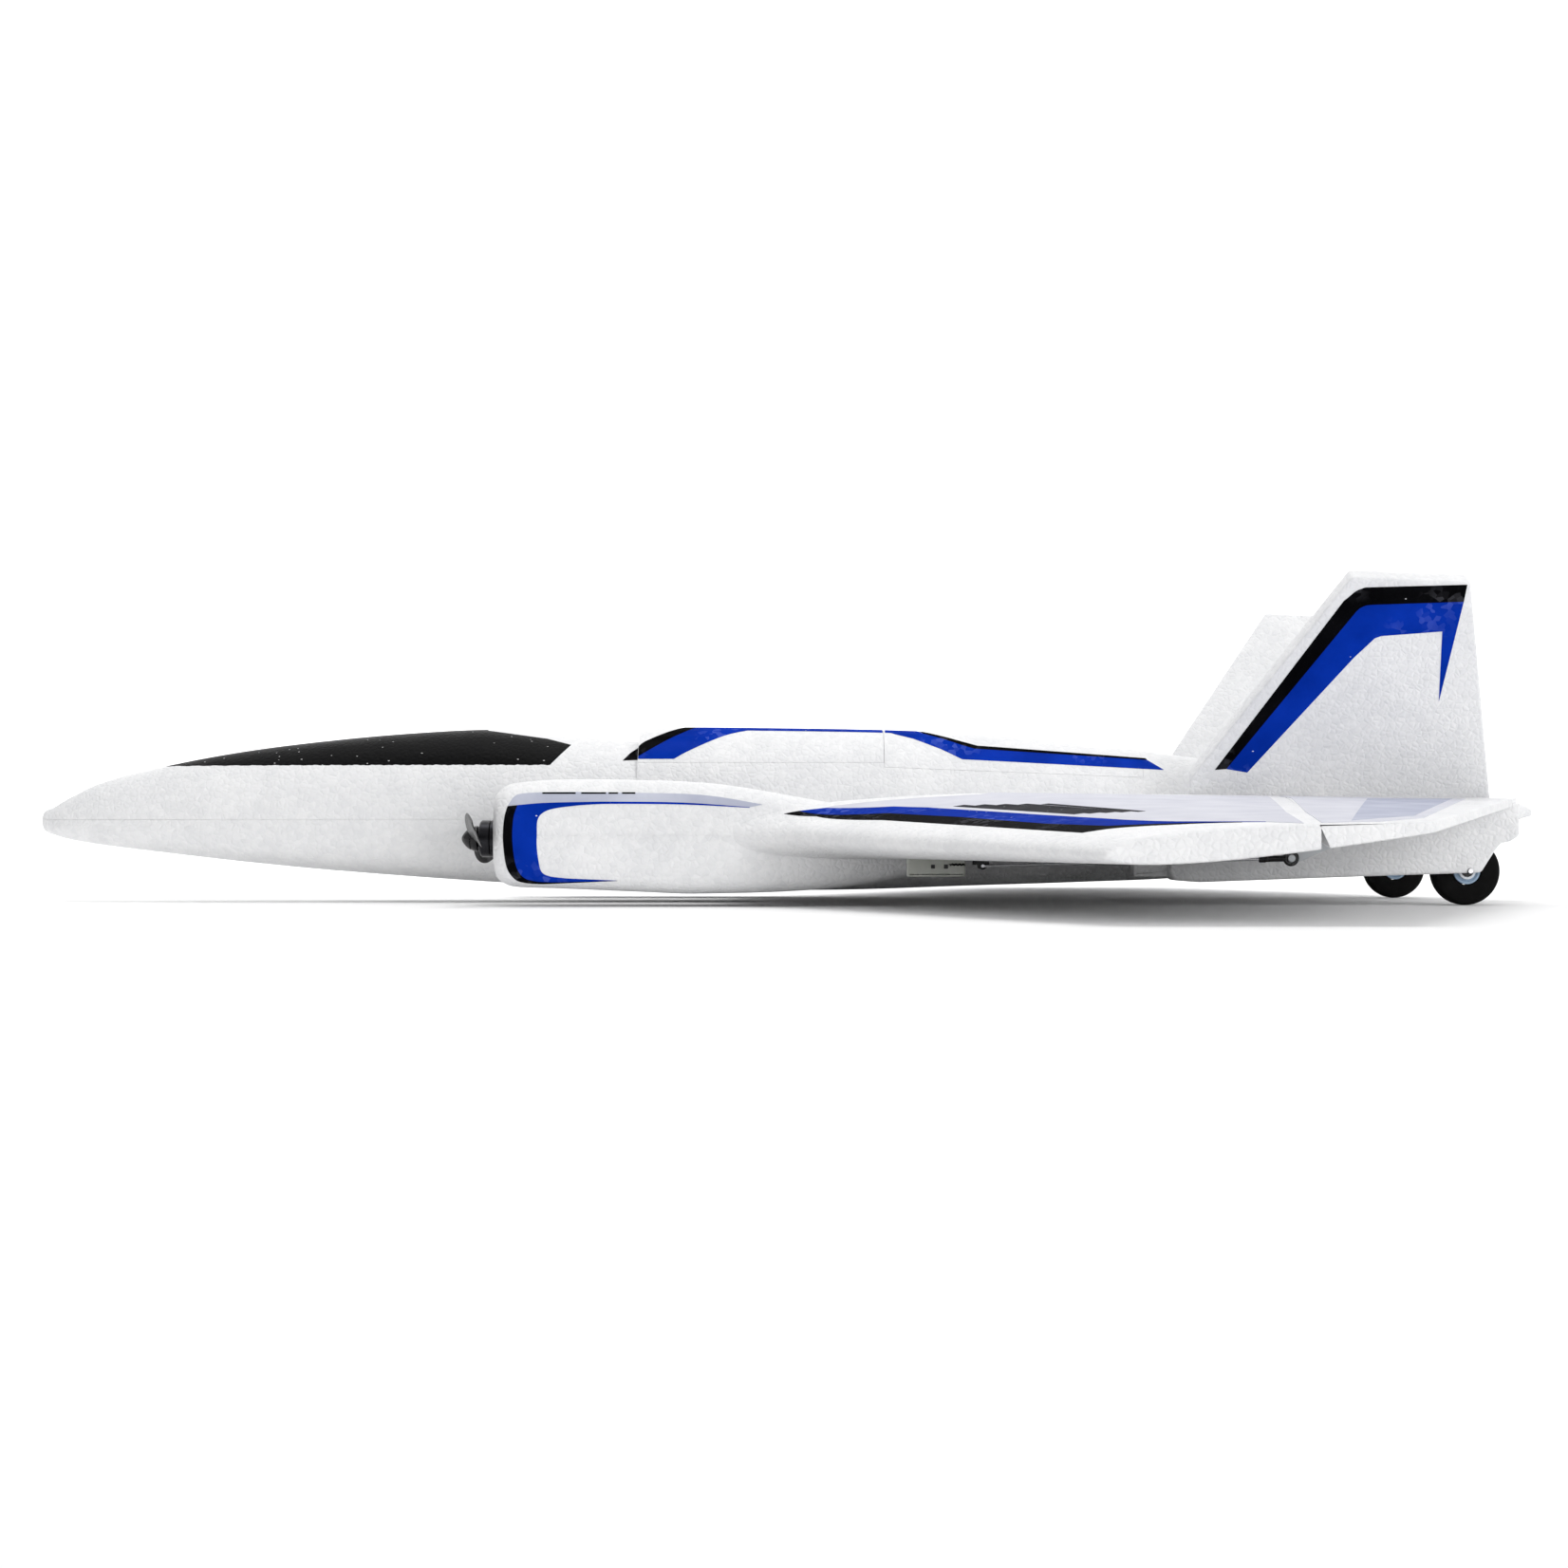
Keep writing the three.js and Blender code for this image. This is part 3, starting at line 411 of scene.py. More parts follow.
# ---- material tools ----
class Look:
    """A material in the making; constants go on the shader's own sockets."""

    def __init__(self, name, **sockets):
        self.material = bpy.data.materials.new(name)
        self.material.use_nodes = True
        self.tree = self.material.node_tree
        self.shader = self.tree.nodes["Principled BSDF"]
        for key, value in sockets.items():
            self.shader.inputs[key.replace("_", " ")].default_value = value
        self.where = self.node("TexCoord").outputs["Object"]

    def node(self, kind, inputs=(), **settings):
        """A shader node; its inputs are numbers, colours or other nodes' outputs."""
        made = self.tree.nodes.new("ShaderNode" + kind)
        for key, value in settings.items():
            setattr(made, key, value)
        for socket, value in dict(inputs).items():
            if isinstance(value, bpy.types.NodeSocket):
                self.tree.links.new(value, made.inputs[socket])
            else:
                made.inputs[socket].default_value = value
        return made

    def stretched(self, *scale):
        return self.node("Mapping", {"Vector": self.where, "Scale": scale}).outputs["Vector"]

    def texture(self, kind, size, where, inputs, **settings):
        """A texture node; size is that of its features in millimetres."""
        place = self.where if where is None else where
        inputs = {"Vector": place, "Scale": 1 / (size * MM), **inputs}
        return self.node("Tex" + kind, inputs, **settings).outputs

    def noise(self, size, detail=4, roughness=0.5, where=None):
        inputs = {"Detail": detail, "Roughness": roughness}
        return self.texture("Noise", size, where, inputs)["Fac"]

    def cells(self, size, output="Distance", feature="F1", where=None):
        return self.texture("Voronoi", size, where, {}, feature=feature)[output]

    def borders(self, size):
        return self.cells(size, feature="DISTANCE_TO_EDGE")

    def cell_tone(self, size, channel, where=None):
        """A value of its own for every cell."""
        colour = self.cells(size, "Color", where=where)
        return self.node("SeparateColor", {"Color": colour}).outputs[channel]

    def mapped(self, value, low, high, to_low=0.0, to_high=1.0):
        inputs = {"Value": value, "From Min": low, "From Max": high}
        inputs.update({"To Min": to_low, "To Max": to_high})
        return self.node("MapRange", inputs).outputs["Result"]

    def maths(self, operation, a, b):
        return self.node("Math", {0: a, 1: b}, operation=operation).outputs[0]

    def blend(self, factor, low, high):
        made = self.node("Mix", data_type="RGBA")
        for socket, value in (("Factor", factor), ("A", low), ("B", high)):
            target = next(i for i in made.inputs if i.name == socket and i.enabled)
            if isinstance(value, bpy.types.NodeSocket):
                self.tree.links.new(value, target)
            else:
                target.default_value = (*value, 1)
        return next(o for o in made.outputs if o.enabled)

    def colour(self, base):
        self.tree.links.new(base, self.shader.inputs["Base Color"])

    def paint(self, factor, low, high):
        self.colour(self.blend(factor, low, high))

    def roughen(self, value, low, high):
        self.tree.links.new(self.mapped(value, 0, 1, low, high), self.shader.inputs["Roughness"])

    def bumps(self, *layers):
        """Stacks bump layers; each is (height, depth in millimetres, strength)."""
        inputs = {}
        for height, depth, strength in layers:
            inputs.update({"Height": height, "Distance": depth * MM, "Strength": strength})
            inputs["Normal"] = self.node("Bump", inputs).outputs["Normal"]
        self.tree.links.new(inputs["Normal"], self.shader.inputs["Normal"])


# ---- materials ----
def foam_material():
    """Moulded bead foam: pale beads pressed together, with faint borders and a soft, uneven skin."""
    look = Look("bead_foam", IOR=1.45)
    warp = look.noise(9, 3)
    tone = look.cell_tone(BEAD, "Red")
    patches = look.mapped(look.noise(26, 5, 0.6), 0.3, 0.7, 0.0, 0.58)
    mixed = look.maths("ADD", look.maths("MULTIPLY", tone, 0.42), patches)
    look.paint(mixed, (0.73, 0.735, 0.75), (0.87, 0.87, 0.875))
    dome = look.mapped(look.borders(BEAD), 0.0, 0.28)
    look.roughen(warp, 0.42, 0.66)
    look.bumps((dome, 0.2, 0.7), (warp, 0.9, 0.35), (look.noise(1.1, 3), 0.12, 0.35))
    return look.material


def film_material(name, colour, worn, roughness, specks=0.0, ghosts=None):
    """Printed film on foam, with the beads showing through as a fine relief."""
    look = Look(name, Specular_IOR_Level=0.0, Coat_Weight=0.025, Coat_Roughness=0.2)
    cloud = look.noise(14)
    base = look.blend(look.mapped(cloud, 0.35, 0.75), colour, worn)
    if ghosts:
        base = look.blend(ghost_mask(look), base, ghosts)
    if specks:
        base = look.blend(speck_mask(look, specks), base, (0.72, 0.73, 0.76))
    look.colour(base)
    look.roughen(cloud, roughness * 0.7, roughness * 1.5)
    relief = look.mapped(look.borders(BEAD), 0.0, 0.3)
    look.bumps((relief, 0.07, 0.4), (look.noise(7, 3), 0.35, 0.3))
    return look.material


def ghost_mask(look):
    """Patches in which single beads show pale through a film."""
    patch = look.mapped(look.noise(30, 2), 0.48, 0.62)
    chosen = look.mapped(look.cell_tone(BEAD, "Blue"), 0.55, 0.9, 0.0, 0.55)
    return look.maths("MULTIPLY", patch, chosen)


def speck_mask(look, share):
    """Small stray flecks in a share of fine cells, drawn out a little along the plane."""
    size = 1.1
    radius = 0.16
    drawn = look.stretched(0.55, 1.0, 1.0)
    near = look.cells(size, where=drawn)
    keep = look.maths("LESS_THAN", look.cell_tone(size, "Green", drawn), share)
    return look.maths("MULTIPLY", keep, look.maths("LESS_THAN", near, radius))


def canopy_material():
    """Black paint over foam, satin, with pinholes where white beads show through."""
    look = Look("canopy_paint", Specular_IOR_Level=0.07)
    cloud = look.noise(11)
    base = look.blend(cloud, (0.001, 0.001, 0.0012), (0.003, 0.003, 0.0034))
    look.paint(speck_mask(look, 0.11), base, (0.5, 0.5, 0.5))
    look.roughen(cloud, 0.42, 0.6)
    dome = look.mapped(look.borders(BEAD), 0.0, 0.3)
    look.bumps((dome, 0.12, 0.5), (look.noise(2.2, 3), 0.2, 0.35))
    return look.material


def plastic_material(name, colour, shade, roughness):
    """Moulded plastic with a faint grain and slightly uneven gloss."""
    look = Look(name, Specular_IOR_Level=0.3)
    cloud = look.noise(5)
    look.paint(cloud, colour, shade)
    look.roughen(cloud, roughness * 0.75, roughness * 1.35)
    look.bumps((look.noise(0.35, 2), 0.02, 0.5), (cloud, 0.15, 0.25))
    return look.material


def metal_material(name, colour, shade, roughness, along=(1.0, 12.0, 12.0)):
    """Drawn or turned metal: fine lines along one direction."""
    look = Look(name, Metallic=1.0)
    lines = look.noise(2.5, 3, where=look.stretched(*along))
    look.paint(lines, colour, shade)
    look.roughen(lines, roughness * 0.7, roughness * 1.4)
    look.bumps((lines, 0.02, 0.3))
    return look.material


def rubber_material():
    """Foam rubber tyre: open, dusty pores."""
    look = Look("foam_rubber", Specular_IOR_Level=0.1)
    pores = look.noise(0.5, 3, 0.7)
    look.paint(look.noise(4, 3), (0.002,) * 3, (0.006,) * 3)
    look.roughen(pores, 0.7, 0.95)
    look.bumps((pores, 0.15, 0.5))
    return look.material


def woven_material(name, colour, shade, pitch):
    """Two crossing sets of threads."""
    look = Look(name)
    inputs = {"Vector": look.where, "Scale": 0.314 / (pitch * MM), "Distortion": 0.4}
    threads = [look.node("TexWave", inputs, bands_direction=way).outputs["Fac"] for way in "XY"]
    weave = look.maths("MAXIMUM", *threads)
    look.paint(weave, colour, shade)
    look.roughen(look.noise(2, 3), 0.6, 0.9)
    look.bumps((weave, 0.2, 0.6))
    return look.material


def wood_material():
    """Birch plywood: fine brown lines along the grain."""
    look = Look("birch_ply", IOR=1.4)
    grain = look.noise(18, 6, 0.6, look.stretched(1.0, 14.0, 14.0))
    look.paint(look.mapped(grain, 0.35, 0.65), (0.66, 0.47, 0.28), (0.42, 0.26, 0.13))
    look.roughen(grain, 0.55, 0.75)
    look.bumps((grain, 0.1, 0.4))
    return look.material


def board_material():
    """Green circuit board with copper tracks under the lacquer."""
    look = Look("circuit_lacquer", IOR=1.5)
    line = look.maths("LESS_THAN", look.borders(1.6), 0.06)
    base = look.blend(look.noise(6), (0.012, 0.10, 0.04), (0.02, 0.16, 0.06))
    look.paint(line, base, (0.06, 0.27, 0.11))
    look.roughen(look.noise(3), 0.25, 0.45)
    look.bumps((line, 0.05, 0.4))
    return look.material


FOAM = foam_material()
CANOPY_BLACK = canopy_material()
BLACKS = (0.0015, 0.0015, 0.002), (0.004, 0.004, 0.005)
BLUES = (0.001, 0.024, 0.30), (0.003, 0.036, 0.42)
FILM_BLACK = film_material("film_black", *BLACKS, 0.24, 0.02, (0.07, 0.07, 0.08))
FILM_BLUE = film_material("film_blue", *BLUES, 0.24, 0.02, (0.08, 0.13, 0.55))
FILM_CLEAR = film_material("film_clear", (0.68, 0.685, 0.74), (0.60, 0.605, 0.67), 0.3)
# Grey film: the elevon's real grey decal, and on the nacelle a clear film whose grey tone is painted
# reflection
GREY_FILM_AND_PAINTED_REFLECTION = film_material("film_grey", (0.44, 0.46, 0.56), (0.56, 0.58, 0.67), 0.3)
FILM_DARK = film_material("film_dark", (0.035, 0.035, 0.04), (0.06, 0.06, 0.065), 0.24, 0.06)
BLACK_PLASTIC = plastic_material("black_plastic", (0.003, 0.003, 0.0035), (0.008, 0.008, 0.009), 0.24)
PALE_PLASTIC = plastic_material("pale_plastic", (0.62, 0.65, 0.68), (0.70, 0.72, 0.74), 0.4)
HUB_PLASTIC = plastic_material("hub_plastic", (0.26, 0.37, 0.50), (0.34, 0.45, 0.58), 0.42)
HUB_WHITE = plastic_material("hub_ring", (0.74, 0.78, 0.82), (0.82, 0.85, 0.88), 0.35)
# Servo case plastic: a pale grey plastic, mixed darker than it is as painted shade for its place in the
# wing's shadow
SERVO_PLASTIC_PAINTED_SHADE = plastic_material("servo_plastic", (0.40, 0.41, 0.37), (0.50, 0.51, 0.47), 0.25)
BATTERY_WRAP = film_material("battery_wrap", (0.01, 0.06, 0.40), (0.02, 0.09, 0.50), 0.2)
MOTOR_METAL = metal_material("motor_can", (0.012, 0.012, 0.014), (0.04, 0.04, 0.045), 0.3)
STEEL = metal_material("drawn_steel", (0.50, 0.50, 0.52), (0.66, 0.66, 0.68), 0.24)
MAGNET = metal_material("nickel_plate", (0.60, 0.60, 0.60), (0.72, 0.71, 0.69), 0.2, (6.0, 6.0, 6.0))
RUBBER = rubber_material()
STRAP = woven_material("strap_weave", (0.01, 0.01, 0.011), (0.035, 0.035, 0.038), 0.9)
CARBON = woven_material("carbon_weave", (0.012, 0.012, 0.014), (0.04, 0.04, 0.045), 1.2)
PLYWOOD = wood_material()
BOARD = board_material()


# ---- fuselage ----
nose_top = through([
    (NOSE_X, 28.4), (-255.3, 30.9), (-252, 32.4), (-247, 35.4), (-235, 41), (-213, 46.6),
    (-184, 51.9), (-152, 55.8), (-126, 58), (-102, 59.1), (-90, 58.2), (-66, 56.2), (-49, 54.8),
])
spine_top = through([
    (-50, 59.5), (-36, 59.8), (-9, 59.6), (33, 58.9), (60, 57.8), (85, 56.1), (115, 52.8),
    (136, 50), (160, 46.6), (200, 41), (235, 36.2), (252, 34), (TAIL_X, 32),
])
belly_line = through([
    (NOSE_X, 26.8), (-255.3, 24.4), (-252, 22.9), (-247, 21.4), (-235, 19.4), (-213, 16.7),
    (-184, 13.4), (-152, 10.4), (-102, 6.8), (-60, 4.6), (-30, 4), (20, 4), (63, 5.4),
    (100, 6.6), (136, 8.2), (180, 13), (225, 21), (250, 27.6), (TAIL_X, 29.2),
])
half_width = through([
    (NOSE_X, 0.9), (-255.3, 3.2), (-252, 5), (-247, 7.4), (-235, 11.6), (-213, 16.2),
    (-184, 20), (-152, 22.4), (-102, 24.4), (-50, 25), (33, 25), (100, 23), (160, 19),
    (220, 14.5), (244, 10.5), (TAIL_X, 4.5),
])


def top_line(x):
    return nose_top(x) if x < HATCH_FRONT_X else spine_top(x)


def oval_ring(x, middle, half, above, below, powers, sides):
    """A section of an upper and a lower half oval round a middle (y, z)."""
    ring = []
    for j in range(sides):
        angle = (j + 0.5) / sides * 2 * math.pi
        upper = math.sin(angle) > 0
        power = powers[0] if upper else powers[1]
        across = signed_power(math.cos(angle), power) * half
        up = signed_power(math.sin(angle), power) * (above if upper else below)
        ring.append((x, middle[0] + across, middle[1] + up))
    return ring


def fuselage_loft(name, stations, step_x, grow, sides):
    powers = (2 / SECTION_TOP_POWER, 2 / SECTION_BELLY_POWER)
    rings = []
    for i, x in enumerate(stations):
        top = (nose_top(x) if x < step_x else spine_top(x)) + grow
        bottom = belly_line(x) - grow
        middle = max(PARTING_Z, bottom + TAIL_EDGE_HEIGHT)
        past = 0
        if grow > 0:
            past = grow * ((i == len(stations) - 1) - (i == 0))
        half = half_width(x) + grow
        above, below = top - middle, middle - bottom
        rings.append(oval_ring(x + past, (0, middle), half, above, below, powers, sides))
    return loft(name, rings)


def fuselage_stations():
    nose = [NOSE_X + 56 * (i / 26) ** 1.9 for i in range(26)]
    front = spread(-200, HATCH_FRONT_X - 0.12, 44)
    rear = spread(HATCH_FRONT_X, 246, 84)
    tail = [250, 253, TAIL_X]
    return nose + front + rear + tail


def fuselage_solid(name, grow=0.0):
    return fuselage_loft(name, fuselage_stations(), HATCH_FRONT_X, grow, 96)


def side_prism(outline):
    """A tool with a side-view outline, wider than the fuselage."""
    return loft("prism", [[(x, y, z) for x, z in outline] for y in (-40, 40)])


def slab(name, low_z, high_z):
    return box_piece(name, (-FAR, -60, low_z), (FAR, 60, high_z))


def brushed_edge(start, end, z, count):
    """A painted edge that isn't quite straight."""
    edge = []
    for x in spread(start, end, count):
        waver = 0.08 * math.sin(x * 0.9) + 0.06 * math.sin(x * 2.3 + 1) + 0.05 * math.sin(x * 4.1)
        edge.append((x, z + waver))
    return edge


def canopy_outline(margin):
    edge = brushed_edge(CANOPY_FRONT_X, -79, CANOPY_EDGE_Z - margin, 150)
    tail = [(-72.6, 53.4), (-81, 55.6), (-102, 58.6), (-102, OVER_ALL_Z)]
    return edge + [(x + margin, z) for x, z in tail] + [(CANOPY_FRONT_X, OVER_ALL_Z)]


def lid_outline(lid, margin):
    front, rear = lid["front_x"] - margin, lid["rear_x"] + margin
    lower = [(front, lid["front_z"] - margin), (rear, lid["rear_z"] - margin)]
    return lower + [(rear, OVER_ALL_Z), (front, OVER_ALL_Z)]


def magnet_room(node_name):
    low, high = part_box(node_name)
    room = FIT * MM
    low = [(value - room) / MM for value in low]
    high = [(value + room) / MM for value in high]
    return box_piece("room", low, high)


def add_fuselage():
    shell = fuselage_solid("shell")
    step_x = HATCH_FRONT_X + HATCH_LEDGE
    hollow_stations = spread(CAVITY_FRONT_X, step_x - 0.1, 60) + spread(step_x + 0.1, CAVITY_REAR_X, 90)
    hollow = fuselage_loft("hollow", hollow_stations, step_x, -SHELL_WALL, 72)
    spar_hole = bar("hole", "y", (SPAR_X, SPAR_Z), -60, 60, SPAR_RADIUS + FIT)
    cut(shell, hollow, spar_hole)

    def part(tool):
        return common(new_object("part", shell.data.copy()), tool)

    lower = part(slab("below", -10, PARTING_Z - SEAM / 2))
    canopy = part(side_prism(canopy_outline(0)))
    hatch = cut(part(side_prism(lid_outline(HATCH, 0))), magnet_room("hatch_magnet"))
    cover = part(side_prism(lid_outline(COVER, 0)))
    upper = common(shell, slab("above", PARTING_Z + SEAM / 2, 80))
    openings = [canopy_outline(SEAM), lid_outline(HATCH, SEAM), lid_outline(COVER, SEAM)]
    cut(upper, *[side_prism(outline) for outline in openings], magnet_room("frame_magnet"))
    for piece, name, body, stands_for in (
        (lower, "lower_shell", "airframe", "fuselage_lower_shell"),
        (upper, "upper_shell", "airframe", "fuselage_upper_shell"),
        (hatch, "hatch_top", "battery_hatch", "battery_hatch"),
        (cover, "spine_top", "airframe", "spine_cover"),
    ):
        settle(piece, name, body, FOAM, [stands_for])
    settle(canopy, "canopy_top", "airframe", CANOPY_BLACK, ["canopy"])


# ---- wing and elevon ----
def leading_x(y):
    """Straight, but curving forward to meet the nacelle's outer side."""
    fade = math.exp(-max(y - LE_SET_Y - 1, 0) / ROOT_FAIRING_FADE)
    return -0.6 + (y - LE_SET_Y) * 0.473 - (ROOT_FAIRING * fade if y > NACELLE_Y else 0)


def leading_z(y):
    return 22.6 - max(y - LE_SET_Y, 0) * 0.029


def trailing_x(y):
    return 239.4 - max(y - ROOT_Y, 0) * 0.374


def trailing_z(y):
    return 33.6 - max(y - ROOT_Y, 0) * 0.0459


def hinge_x(y):
    return 162.4 - (y - ROOT_Y) * 0.1366


def thickest_half(y):
    return 10 - max(y - LE_SET_Y, 0) * 0.0343


def half_thickness(y, fraction):
    most = thickest_half(y)
    if fraction < WING_THICKEST:
        t = 1 - fraction / WING_THICKEST
        return most * max(1 - t ** 2.4, 0) ** (1 / 2.4)
    t = (fraction - WING_THICKEST) / (1 - WING_THICKEST)
    tail = WING_TE_THICKNESS / 2
    return tail + (most - tail) * (1 - t ** (1 + max(y - LE_SET_Y, 0) * 0.0034))


def wing_fraction(x, y):
    return (x - leading_x(y)) / (trailing_x(y) - leading_x(y))


def skin_z(x, y, side, inset=0.0):
    """Height of the wing's upper (+1) or lower (-1) skin."""
    fraction = min(max(wing_fraction(x, y), 0), 1)
    middle = leading_z(y) + (trailing_z(y) - leading_z(y)) * fraction
    return middle + side * half_thickness(y, fraction) * (1 - inset * TIP_FLATNESS / thickest_half(y))


def tip_stations():
    """The sections of the rounded tip, each with how far it is drawn in."""
    stations = []
    for near in (1, 0.7, 0.45, 0.25, 0.1, 0):
        inset = TIP_ROUND * (1 - math.sqrt(1 - (1 - near) ** 2))
        stations.append((HALF_SPAN - TIP_ROUND * near, inset))
    return stations + [(HALF_SPAN, TIP_ROUND + 0.5)]


def wing_solid(name, grow=0.0):
    chord_steps = 44
    turns = [math.pi * (i + 0.6) / (chord_steps + 0.6) for i in range(chord_steps + 1)]
    fractions = [(1 - math.cos(turn)) / 2 for turn in turns]
    rings = []
    stations = [WING_START_Y, ROOT_Y, 53, NACELLE_Y, NACELLE_Y + 0.5]
    stations += spread(66, 100, 30) + spread(103, HALF_SPAN - TIP_ROUND - 2, 38)
    for y, inset in [(y, 0) for y in stations] + tip_stations():
        past = grow if y == HALF_SPAN else 0
        chord = trailing_x(y) - leading_x(y)
        sides = []
        for side in (1, -1):
            line = []
            for fraction in fractions:
                x = leading_x(y) + chord * fraction
                z = skin_z(x, y, side, inset) + side * grow
                line.append((x + (1 - 2 * fraction) * (inset - grow), y + past, z))
            sides.append(line)
        nose = (leading_x(y) + inset - grow, y + past, leading_z(y))
        rings.append([nose] + sides[0] + sides[1][::-1])
    return loft(name, rings)


def elevon_room():
    """What the fixed wing leaves free behind the hinge line."""
    rings = []
    for y in (ELEVON_ROOT_Y - ELEVON_END_GAP, HALF_SPAN + 5):
        front = hinge_x(min(y, HALF_SPAN)) - HINGE_GAP / 2
        rings.append([(front, y, 60), (front, y, -5), (FAR, y, -5), (FAR, y, 60)])
    return loft("room", rings)


def servo_blocks(grow, case_low, head_low, rounding=0.0):
    """The servo's case and its gear head, grown sideways and upwards."""
    low, high = SERVO_INNER_Y - grow, SERVO_OUTER_Y + grow
    front, rear = SERVO_FRONT_X - grow, SERVO_REAR_X + grow
    case = box_piece("case", (front, low, case_low), (rear, high, SERVO_TOP_Z + grow), rounding)
    head_low = (SERVO_REAR_X - 1 - grow, low, head_low)
    head_high = (SERVO_HEAD_REAR_X + grow, high, SERVO_HEAD_TOP_Z + grow)
    return case, box_piece("head", head_low, head_high, rounding)


def servo_room():
    """What the wing leaves free for the servo and the swing of its arm."""
    case, head = servo_blocks(0.4, 2, 2.1)
    swing = box_piece("swing", (53, SERVO_OUTER_Y, 0), (69, ROD_Y + 1.4, 24.05))
    return join(case, head, swing)


def add_wings():
    wing = wing_solid("wing")
    spar_hole = bar("hole", "y", (SPAR_X, SPAR_Z), 0, SPAR_REACH + 1, SPAR_RADIUS + FIT)
    cut(wing, fuselage_solid("side", SEAM), nacelle_solid("nacelle", SEAM))
    cut(wing, elevon_room(), spar_hole, servo_room())
    pair(wing, "wing_panel", FOAM, stands_for=["wing"], crease=40)


def elevon_ring(y, inset=0):
    """A section of the elevon: flat front under the hinge, cut back below, ribbed rear face."""
    front = hinge_x(y) + HINGE_GAP / 2
    rear = trailing_x(y) - inset
    hinge_z = skin_z(front, y, 1) - HINGE_DEPTH
    rib = RIB_DEPTH * (0.5 - 0.5 * math.cos(2 * math.pi * y / RIB_PITCH))
    low_front = front
    for _ in range(6):
        low_front = front + (hinge_z - skin_z(low_front, y, -1, inset)) * math.tan(ELEVON_BEVEL)
    upper = [(x, skin_z(x, y, 1, inset)) for x in spread(front, rear - 1.2, 22)]
    upper.append((rear - 0.25 - rib, skin_z(rear, y, 1, inset)))
    upper.append((rear - rib, skin_z(rear, y, 1, inset) - 0.25))
    low = skin_z(rear, y, -1, inset)
    lower = [(rear - rib, low + 0.25), (rear - 0.25 - rib, low)]
    lower += [(x, skin_z(x, y, -1, inset)) for x in spread(rear - 1.2, low_front, 22)]
    front_face = [(front, hinge_z)]
    slant = ELEVON_ROOT_SLANT * max(0, 1 - (y - ELEVON_ROOT_Y) / 10)
    return [(x, y + (x - front) * slant, z) for x, z in upper + lower + front_face]


def add_elevons():
    stations = [(y, 0) for y in spread(ELEVON_ROOT_Y, HALF_SPAN - TIP_ROUND - 0.4, 250)]
    elevon = loft("elevon", [elevon_ring(y, inset) for y, inset in stations + tip_stations()])
    pair(elevon, "elevon_panel", FOAM, body="elevon", stands_for=["elevon"], crease=40)


# ---- fin ----
def fin_point(x, height, out):
    """A point by its height along the leaning fin and its distance out from its middle plane."""
    lean, rise = math.sin(FIN_CANT), math.cos(FIN_CANT)
    return (x, FIN_BASE_Y + out * rise + height * lean, FIN_BASE_Z - out * lean + height * rise)


def add_fins():
    outline = [(133, -4.2), (133, 7.2), (136, 12.2), (178.4, 79), (215.8, 77.4), (232.9, -4.2)]
    outline = round_inner_corners(outline, 1.2)
    fin = plate("fin", outline, -FIN_THICKNESS / 2, FIN_THICKNESS / 2, 0.7, fin_point)
    cut(fin, wing_solid("wing", SEAM), fuselage_solid("side", SEAM))
    pair(fin, "fin_plate", FOAM, stands_for=["fin"])


# ---- nacelle ----
nacelle_top = through([
    (NACELLE_FRONT_X, 33.5), (-90.2, 36), (-88, 38), (-85, 39.2), (-72, 40.3), (-45, 40.2),
    (-20, 38.9), (12, 33.6), (40, 29), (NACELLE_REAR_X, 24),
])
nacelle_bottom = through([
    (NACELLE_FRONT_X, 12), (-90.2, 9), (-88, 7.2), (-85, 6.2), (-72, 5.7), (-45, 4.6),
    (-27, 4), (12, 5.4), (40, 9.5), (NACELLE_REAR_X, 17),
])
nacelle_half = through([
    (NACELLE_FRONT_X, 13), (-90.2, 15.5), (-88, 17), (-85, 17.7), (-72, 18), (-20, 18),
    (12, 16), (40, 12), (NACELLE_REAR_X, 6),
])


def nacelle_solid(name, grow=0.0):
    stations = [NACELLE_FRONT_X, -90.8, -90.5, -90.2, -89.6, -89, -88.4, -87.6, -86.6, -85.4]
    stations += spread(-84, NACELLE_REAR_X, 70)
    rings = []
    for i, x in enumerate(stations):
        top, bottom = nacelle_top(x), nacelle_bottom(x)
        past = grow * ((i == len(stations) - 1) - (i == 0))
        middle = (NACELLE_Y, (top + bottom) / 2)
        reach = (top - bottom) / 2 + grow
        half = nacelle_half(x) + grow
        rings.append(oval_ring(x + past, middle, half, reach, reach, (NACELLE_POWER,) * 2, 96))
    return loft(name, rings)


def add_nacelles():
    nacelle = nacelle_solid("nacelle")
    bore = bar("bore", "x", (NACELLE_Y, THRUST_Z), -96, -75.5, MOUNT_OUTER_RADIUS + FIT, 64)
    bay = box_piece("bay", (-80, NACELLE_Y - 6, THRUST_Z - 3), (-45, NACELLE_Y + 6, THRUST_Z + 4))
    cut(nacelle, bore, bay)
    pair(nacelle, "nacelle_body", FOAM, stands_for=["nacelle"])


# ---- power unit ----
def on_thrust_line(x, a, b):
    return (x, NACELLE_Y + a, THRUST_Z + b)


